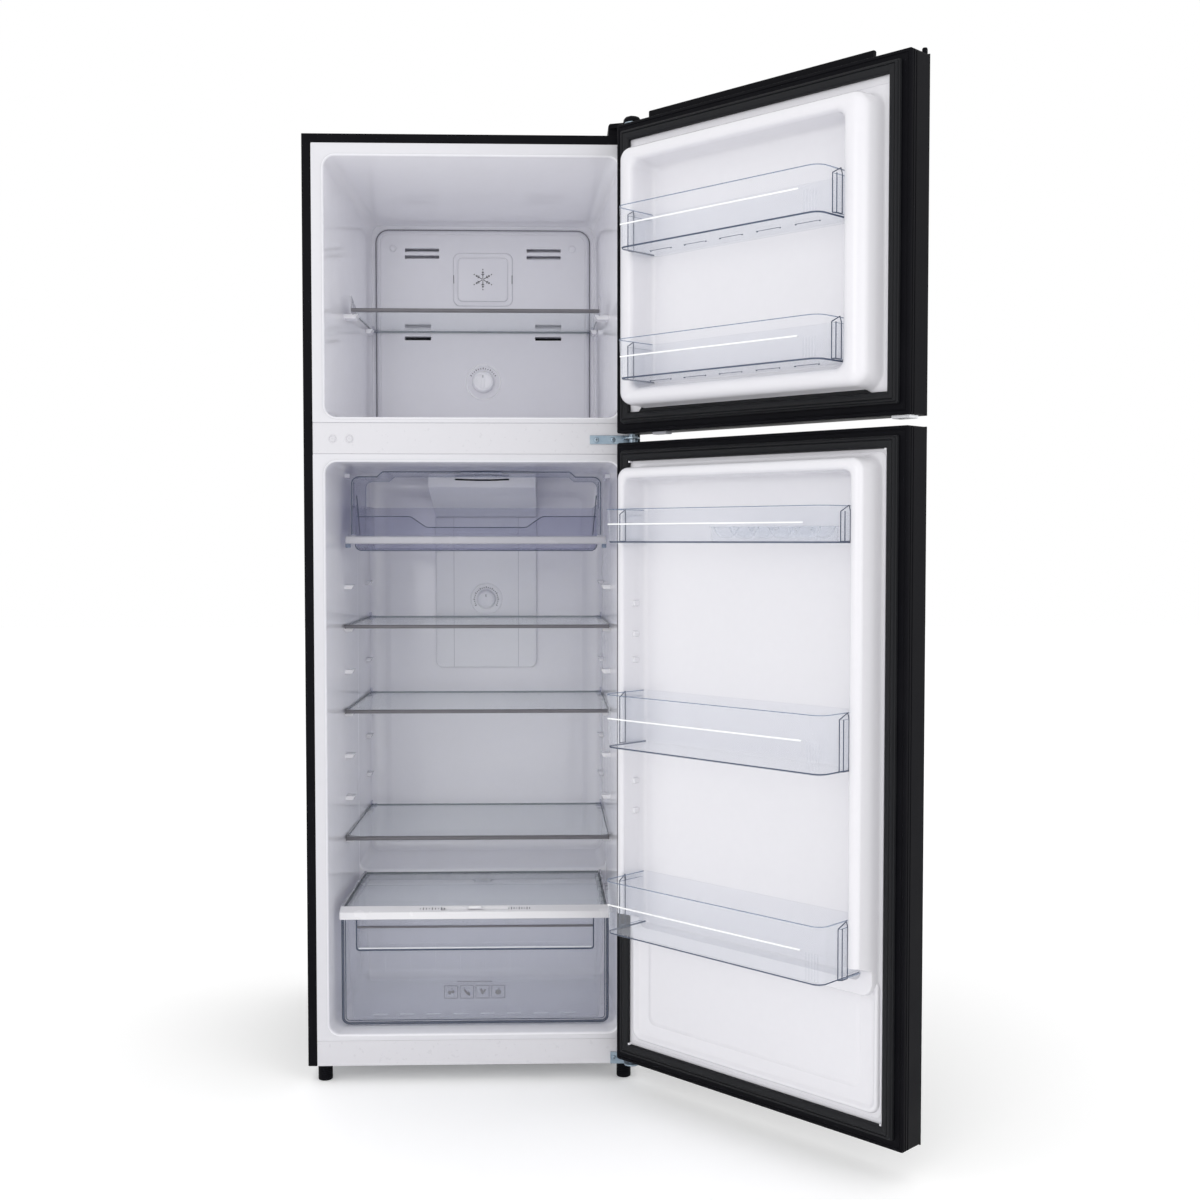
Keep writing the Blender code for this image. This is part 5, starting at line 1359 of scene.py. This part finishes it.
def egg_tray():
    """Thin moulded tray with two rows of cups and a wavy rim."""
    low, high = span("egg_tray")
    columns, rows = 5, 2
    nx, ny = 70, 30
    points, faces = [], []
    for j in range(ny + 1):
        for i in range(nx + 1):
            u, v = i / nx, j / ny
            x = low.x + 0.001 + (high.x - low.x - 0.002) * u
            y = low.y + 0.001 + (high.y - low.y - 0.002) * v
            cup_x = (u * columns) % 1.0 - 0.5
            cup_y = (v * rows) % 1.0 - 0.5
            reach = min(1.0, 2.15 * (cup_x * cup_x + cup_y * cup_y) ** 0.5)
            depth = 0.018 * (1 - reach * reach) ** 0.5 if reach < 1 else 0.0
            points.append((x, y, high.z - 0.002 - depth))
    for j in range(ny):
        for i in range(nx):
            a = j * (nx + 1) + i
            faces.append((a, a + 1, a + nx + 2, a + nx + 1))
    item = piece("egg_tray_cups", (points, faces, [0] * len(faces)), "fridge_door", ["clear"],
                 ["egg_tray"], angle=50)
    solid = item.modifiers.new("thickness", "SOLIDIFY")
    solid.thickness = 0.0012
    rim_line = rounded(low.x + 0.0008, high.x - 0.0008, low.y + 0.0008, high.y - 0.0008, 0.008, 5)
    rim = tube(level(rim_line, high.z - 0.002), 0.0010, closed=True)
    inner = inset(rim_line, 0.0012)
    skirt = loft([level(rim_line, low.z), level(rim_line, high.z - 0.002), level(inner, high.z - 0.002),
                  level(inner, low.z)], True)
    piece("egg_tray_rim", combine(rim, skirt), "fridge_door", ["clear"])


def doors():
    z0, z1 = door_edge("freezer_door", "freezer_door_frame", "freezer_door_panel", "freezer_door_foam")
    door_edge("fridge_door", "fridge_door_frame", "fridge_door_panel", "fridge_door_foam")
    for door in ("freezer_door", "fridge_door"):
        seal(f"{door}_seal", f"{door}_gasket")
    freezer_door_inside()
    fridge_door_inside()
    for place in ("upper", "lower"):
        door_bin(f"freezer_{place}_bin", f"freezer_bin_{place}", True)
    for place in ("top", "middle", "bottom"):
        door_bin(f"fridge_{place}_bin", f"fridge_bin_{place}")
    egg_tray()
    low, high = span("freezer_door_frame")
    rib_front = low.y + 0.0003
    rib = rounded(rib_front, rib_front + 0.0085, z1 - 0.002, high.z, (0.001, 0.0025, 0.0025, 0.001), 4)
    body = soft_bar(rib, -0.206, 0.260, 0.0004, 0.0005)
    nub = shifted(turned([(0.0042, -0.002), (0.0042, 0.0062), (0.0034, 0.0084), (0.0004, 0.0092)], 20),
                  -HALF + 0.0055, low.y + 0.0045, z1)
    piece("freezer_door_top_rib", combine(body, nub), "freezer_door", ["black_plastic"])
    stopper = box(0.194, 0.226, low.y + 0.020, low.y + 0.036, z0 - 0.0045, z0 + 0.0005)
    piece("freezer_door_stopper", stopper, "freezer_door", ["light_trim"], bevel=0.0012)
    far = box(-0.2955, -0.262, low.y + 0.014, low.y + 0.038, z0 - 0.0050, z0 + 0.0005)
    piece("freezer_door_foot_cap", far, "freezer_door", ["frosted"], bevel=0.0015)


# Hinges, feet, machinery and back

def screw(x, y, z, profile, steps, cross, way):
    """Pan head with a cross recess; way is -1 for a head on the front and 1 for one on the back."""
    turn = Matrix.Translation((x, y, z)) @ Matrix.Rotation(-way * pi / 2, 4, "X")
    # The cross recess is two near-black bars through the head: painted shade in place of a hollow.
    y0, y1 = sorted(y + way * depth for depth in cross)
    bars = [box(x - wide, x + wide, y0, y1, z - high, z + high, 1)
            for wide, high in ((0.0022, 0.0004), (0.0004, 0.0022))]
    return combine(moved(turned(profile, steps), turn), *bars)


def hinges():
    for name in ("top_hinge", "middle_hinge", "bottom_hinge"):
        keep(name, "zinc", 0.0005)
    keep("top_hinge_cover", "black_plastic", 0.0006)
    screws = []
    for x, z, radius in ((0.2215, 1.161, 0.0046), (0.251, 1.161, 0.0046), (0.2535, 0.041, 0.004),
                         (0.2645, 0.041, 0.004)):
        profile = [(radius, 0.0), (radius, 0.0010), (radius * 0.82, 0.0021), (radius * 0.4, 0.0026),
                   (0.0003, 0.0027)]
        screws.append(screw(x, -0.0028, z, profile, 24, (0.0020, 0.0029), -1))
    piece("hinge_screws", combine(*screws), "cabinet", ["zinc", "recess_shade"])


def feet_and_rollers():
    foot = [(0.0005, 0.0), (0.0110, 0.0), (0.0126, 0.0008), (0.0130, 0.0024), (0.0130, 0.0060)]
    for i in range(5):
        z = 0.0075 + 0.0034 * i
        foot += [(0.0130, z), (0.0123, z + 0.0006), (0.0123, z + 0.0012), (0.0130, z + 0.0018)]
    foot += [(0.0130, 0.0252), (0.0118, 0.0282), (0.0105, 0.0296), (0.0040, 0.0297), (0.0040, 0.049)]
    half_tyre = [(0.0140, 0.0006), (0.0145, 0.0012), (0.0145, 0.0070), (0.0138, 0.0086), (0.0120, 0.0090),
                 (0.0105, 0.0076), (0.0070, 0.0076), (0.0062, 0.0090), (0.0036, 0.0090)]
    roller = [(radius, -height) for radius, height in reversed(half_tyre)] + half_tyre
    for side in ("left", "right"):
        node = f"front_foot_{side}"
        low, high = span(node)
        shape = shifted(turned(foot, 40), (low.x + high.x) / 2, (low.y + high.y) / 2, 0.0)
        piece(f"levelling_foot_{side}", shape, f"foot_{side}", ["black_plastic"], [node])
        node = f"rear_roller_{side}"
        low, high = span(node)
        shape = facing_side(turned(roller, 40, True), *((low + high) / 2))
        piece(f"transport_roller_{side}", shape, f"roller_{side}", ["roller"], [node])


def machinery():
    keep("compressor", "compressor")
    keep("compressor_rail", "galvanised")
    keep("condenser_coil", "copper")
    keep("machine_room_cover", "back_sheet")


def back_side():
    """Embossed fields and screws on the back, and a grille frame on the lower cover."""
    face = span("back_panel")[1].y
    fields = []
    for z0, z1 in ((1.150, 1.600), (0.640, 1.090), (0.330, 0.580)):
        rings = []
        for shrink, rise in ((0.0, 0.0), (0.002, 0.0008), (0.005, 0.0022), (0.008, 0.0030), (0.014, 0.0030),
                             (0.017, 0.0022), (0.020, 0.0010), (0.023, 0.0006)):
            outline = rounded(-0.235 + shrink, 0.235 - shrink, z0 + shrink, z1 - shrink,
                              max(0.006, 0.030 - shrink * 0.6), 8)
            rings.append(upright(outline, face + rise))
        fields.append(loft(rings))
    piece("back_panel_fields", combine(*fields), "cabinet", ["back_sheet"], angle=50)
    cover_low, cover_high = span("machine_room_cover")
    places = [(x, face, z) for x in (-0.276, 0.276) for z in (0.300, 0.640, 0.980, 1.320, 1.660)]
    places += [(x, face, 1.679) for x in (-0.150, 0.0, 0.150)]
    places += [(x, cover_high.y, z) for x in (-0.274, 0.274) for z in (0.050, 0.150, 0.248)]
    profile = [(0.0050, 0.0), (0.0050, 0.0010), (0.0040, 0.0020), (0.0020, 0.0025), (0.0003, 0.0026)]
    heads = [screw(*place, profile, 20, (0.0021, 0.0028), 1) for place in places]
    piece("back_screws", combine(*heads), "cabinet", ["zinc", "recess_shade"])
    hoods = []
    for i in range(6):
        z = 0.080 + 0.026 * i
        hood = [(0.059, z + 0.0075), (0.221, z + 0.0075), (0.221, z + 0.0125), (0.059, z + 0.0125)]
        lower = [(x, cover_high.y + (0.0052 if v < z + 0.010 else 0.0), v) for x, v in hood]
        hoods.append(mirrored(loft([upright(hood, cover_high.y - 0.0016), lower])))
    piece("machine_cover_hoods", combine(*hoods), "cabinet", ["back_sheet"], bevel=0.0004)
    border = []
    for shrink, rise in ((0.0, -0.0002), (0.0, 0.0), (0.0006, 0.0020), (0.0022, 0.0026), (0.0070, 0.0026),
                         (0.0085, 0.0018), (0.0095, 0.0), (0.0095, -0.0002)):
        outline = rounded(cover_low.x + shrink, cover_high.x - shrink, cover_low.z + shrink,
                          cover_high.z - shrink, max(0.0012, 0.004 - shrink), 4)
        border.append(upright(outline, cover_high.y + rise))
    piece("machine_cover_border", loft(border, True), "cabinet", ["back_sheet"], angle=50)


# Stage

FOCAL_LENGTH = 44.81
CAMERA_PLACE = Vector((0.1457, -2.683, 0.982))
CAMERA_PITCH = 87.70
CAMERA_YAW = -1.76
FLOOR_HALF = 14
LIGHTS = (
    ("front_softbox", (-1.1, -3.4, 1.7), (0.0, 0.3, 0.9), 1.8, 15.0),
    ("right_softbox", (2.4, -2.4, 1.6), (0.5, -0.3, 0.9), 1.6, 6.0),
    ("high_softbox", (0.8, -2.2, 3.2), (0.0, 0.3, 0.8), 1.8, 3.0),
    ("back_softbox", (-1.4, 3.2, 2.4), (0.0, 0.6, 0.9), 2.0, 6.0),
)


def photo_camera():
    """The camera where the photographer stood, in front and a little to the right."""
    camera_data = bpy.data.cameras.new("camera")
    camera_data.lens = FOCAL_LENGTH
    camera_data.sensor_width = 36.0
    camera = add_object("camera", camera_data)
    camera.location = ORIGIN + CAMERA_PLACE
    camera.rotation_euler = (radians(CAMERA_PITCH), 0.0, radians(CAMERA_YAW))
    bpy.context.scene.camera = camera


def pale_floor():
    material, nodes, _ = new_material("pale_floor")
    shader = nodes["Principled BSDF"]
    shader.inputs["Base Color"].default_value = (0.97, 0.97, 0.97, 1.0)
    shader.inputs["Roughness"].default_value = 0.9
    shader.inputs["Specular IOR Level"].default_value = 0.1
    shader.inputs["Emission Color"].default_value = (1.0, 1.0, 1.0, 1.0)
    shader.inputs["Emission Strength"].default_value = 0.13
    mesh = bpy.data.meshes.new("floor")
    corners = [(x * FLOOR_HALF, y * FLOOR_HALF, 0) for x, y in ((-1, -1), (1, -1), (1, 1), (-1, 1))]
    mesh.from_pydata(corners, [], [(0, 1, 2, 3)])
    mesh.materials.append(material)
    add_object("floor", mesh)


def studio_light():
    """An even white surround and four square area lights."""
    world = bpy.data.worlds.new("studio")
    world.use_nodes = True
    background = world.node_tree.nodes["Background"]
    background.inputs["Color"].default_value = (1.0, 1.0, 1.0, 1.0)
    background.inputs["Strength"].default_value = 1.0
    bpy.context.scene.world = world
    for name, place, target, size, power in LIGHTS:
        data = bpy.data.lights.new(name, "AREA")
        data.shape = "SQUARE"
        data.size = size
        data.energy = power
        light = add_object(name, data)
        light.location = ORIGIN + Vector(place)
        aim = ORIGIN + Vector(target) - light.location
        light.rotation_euler = aim.to_track_quat("-Z", "Y").to_euler()
    bpy.context.scene.view_settings.view_transform = "Standard"
    bpy.context.scene.cycles.transparent_max_bounces = 32
    bpy.context.scene.cycles.max_bounces = 16
    bpy.context.scene.cycles.diffuse_bounces = 12


photo_camera()
pale_floor()
studio_light()
cabinet_shell()
freezer_cavity()
freezer_cover()
freezer_badge()
freezer_cover_fittings()
shelf("freezer_shelf", "freezer_shelf_glass", "freezer_shelf_trim", True)
fridge_cavity()
for number in (1, 2, 3):
    shelf(f"fridge_shelf_{number}", f"fridge_shelf_glass_{number}", f"fridge_shelf_trim_{number}", False)
duct_cover()
chiller()
crisper_cover()
crisper_drawer()
doors()
hinges()
feet_and_rollers()
machinery()
back_side()
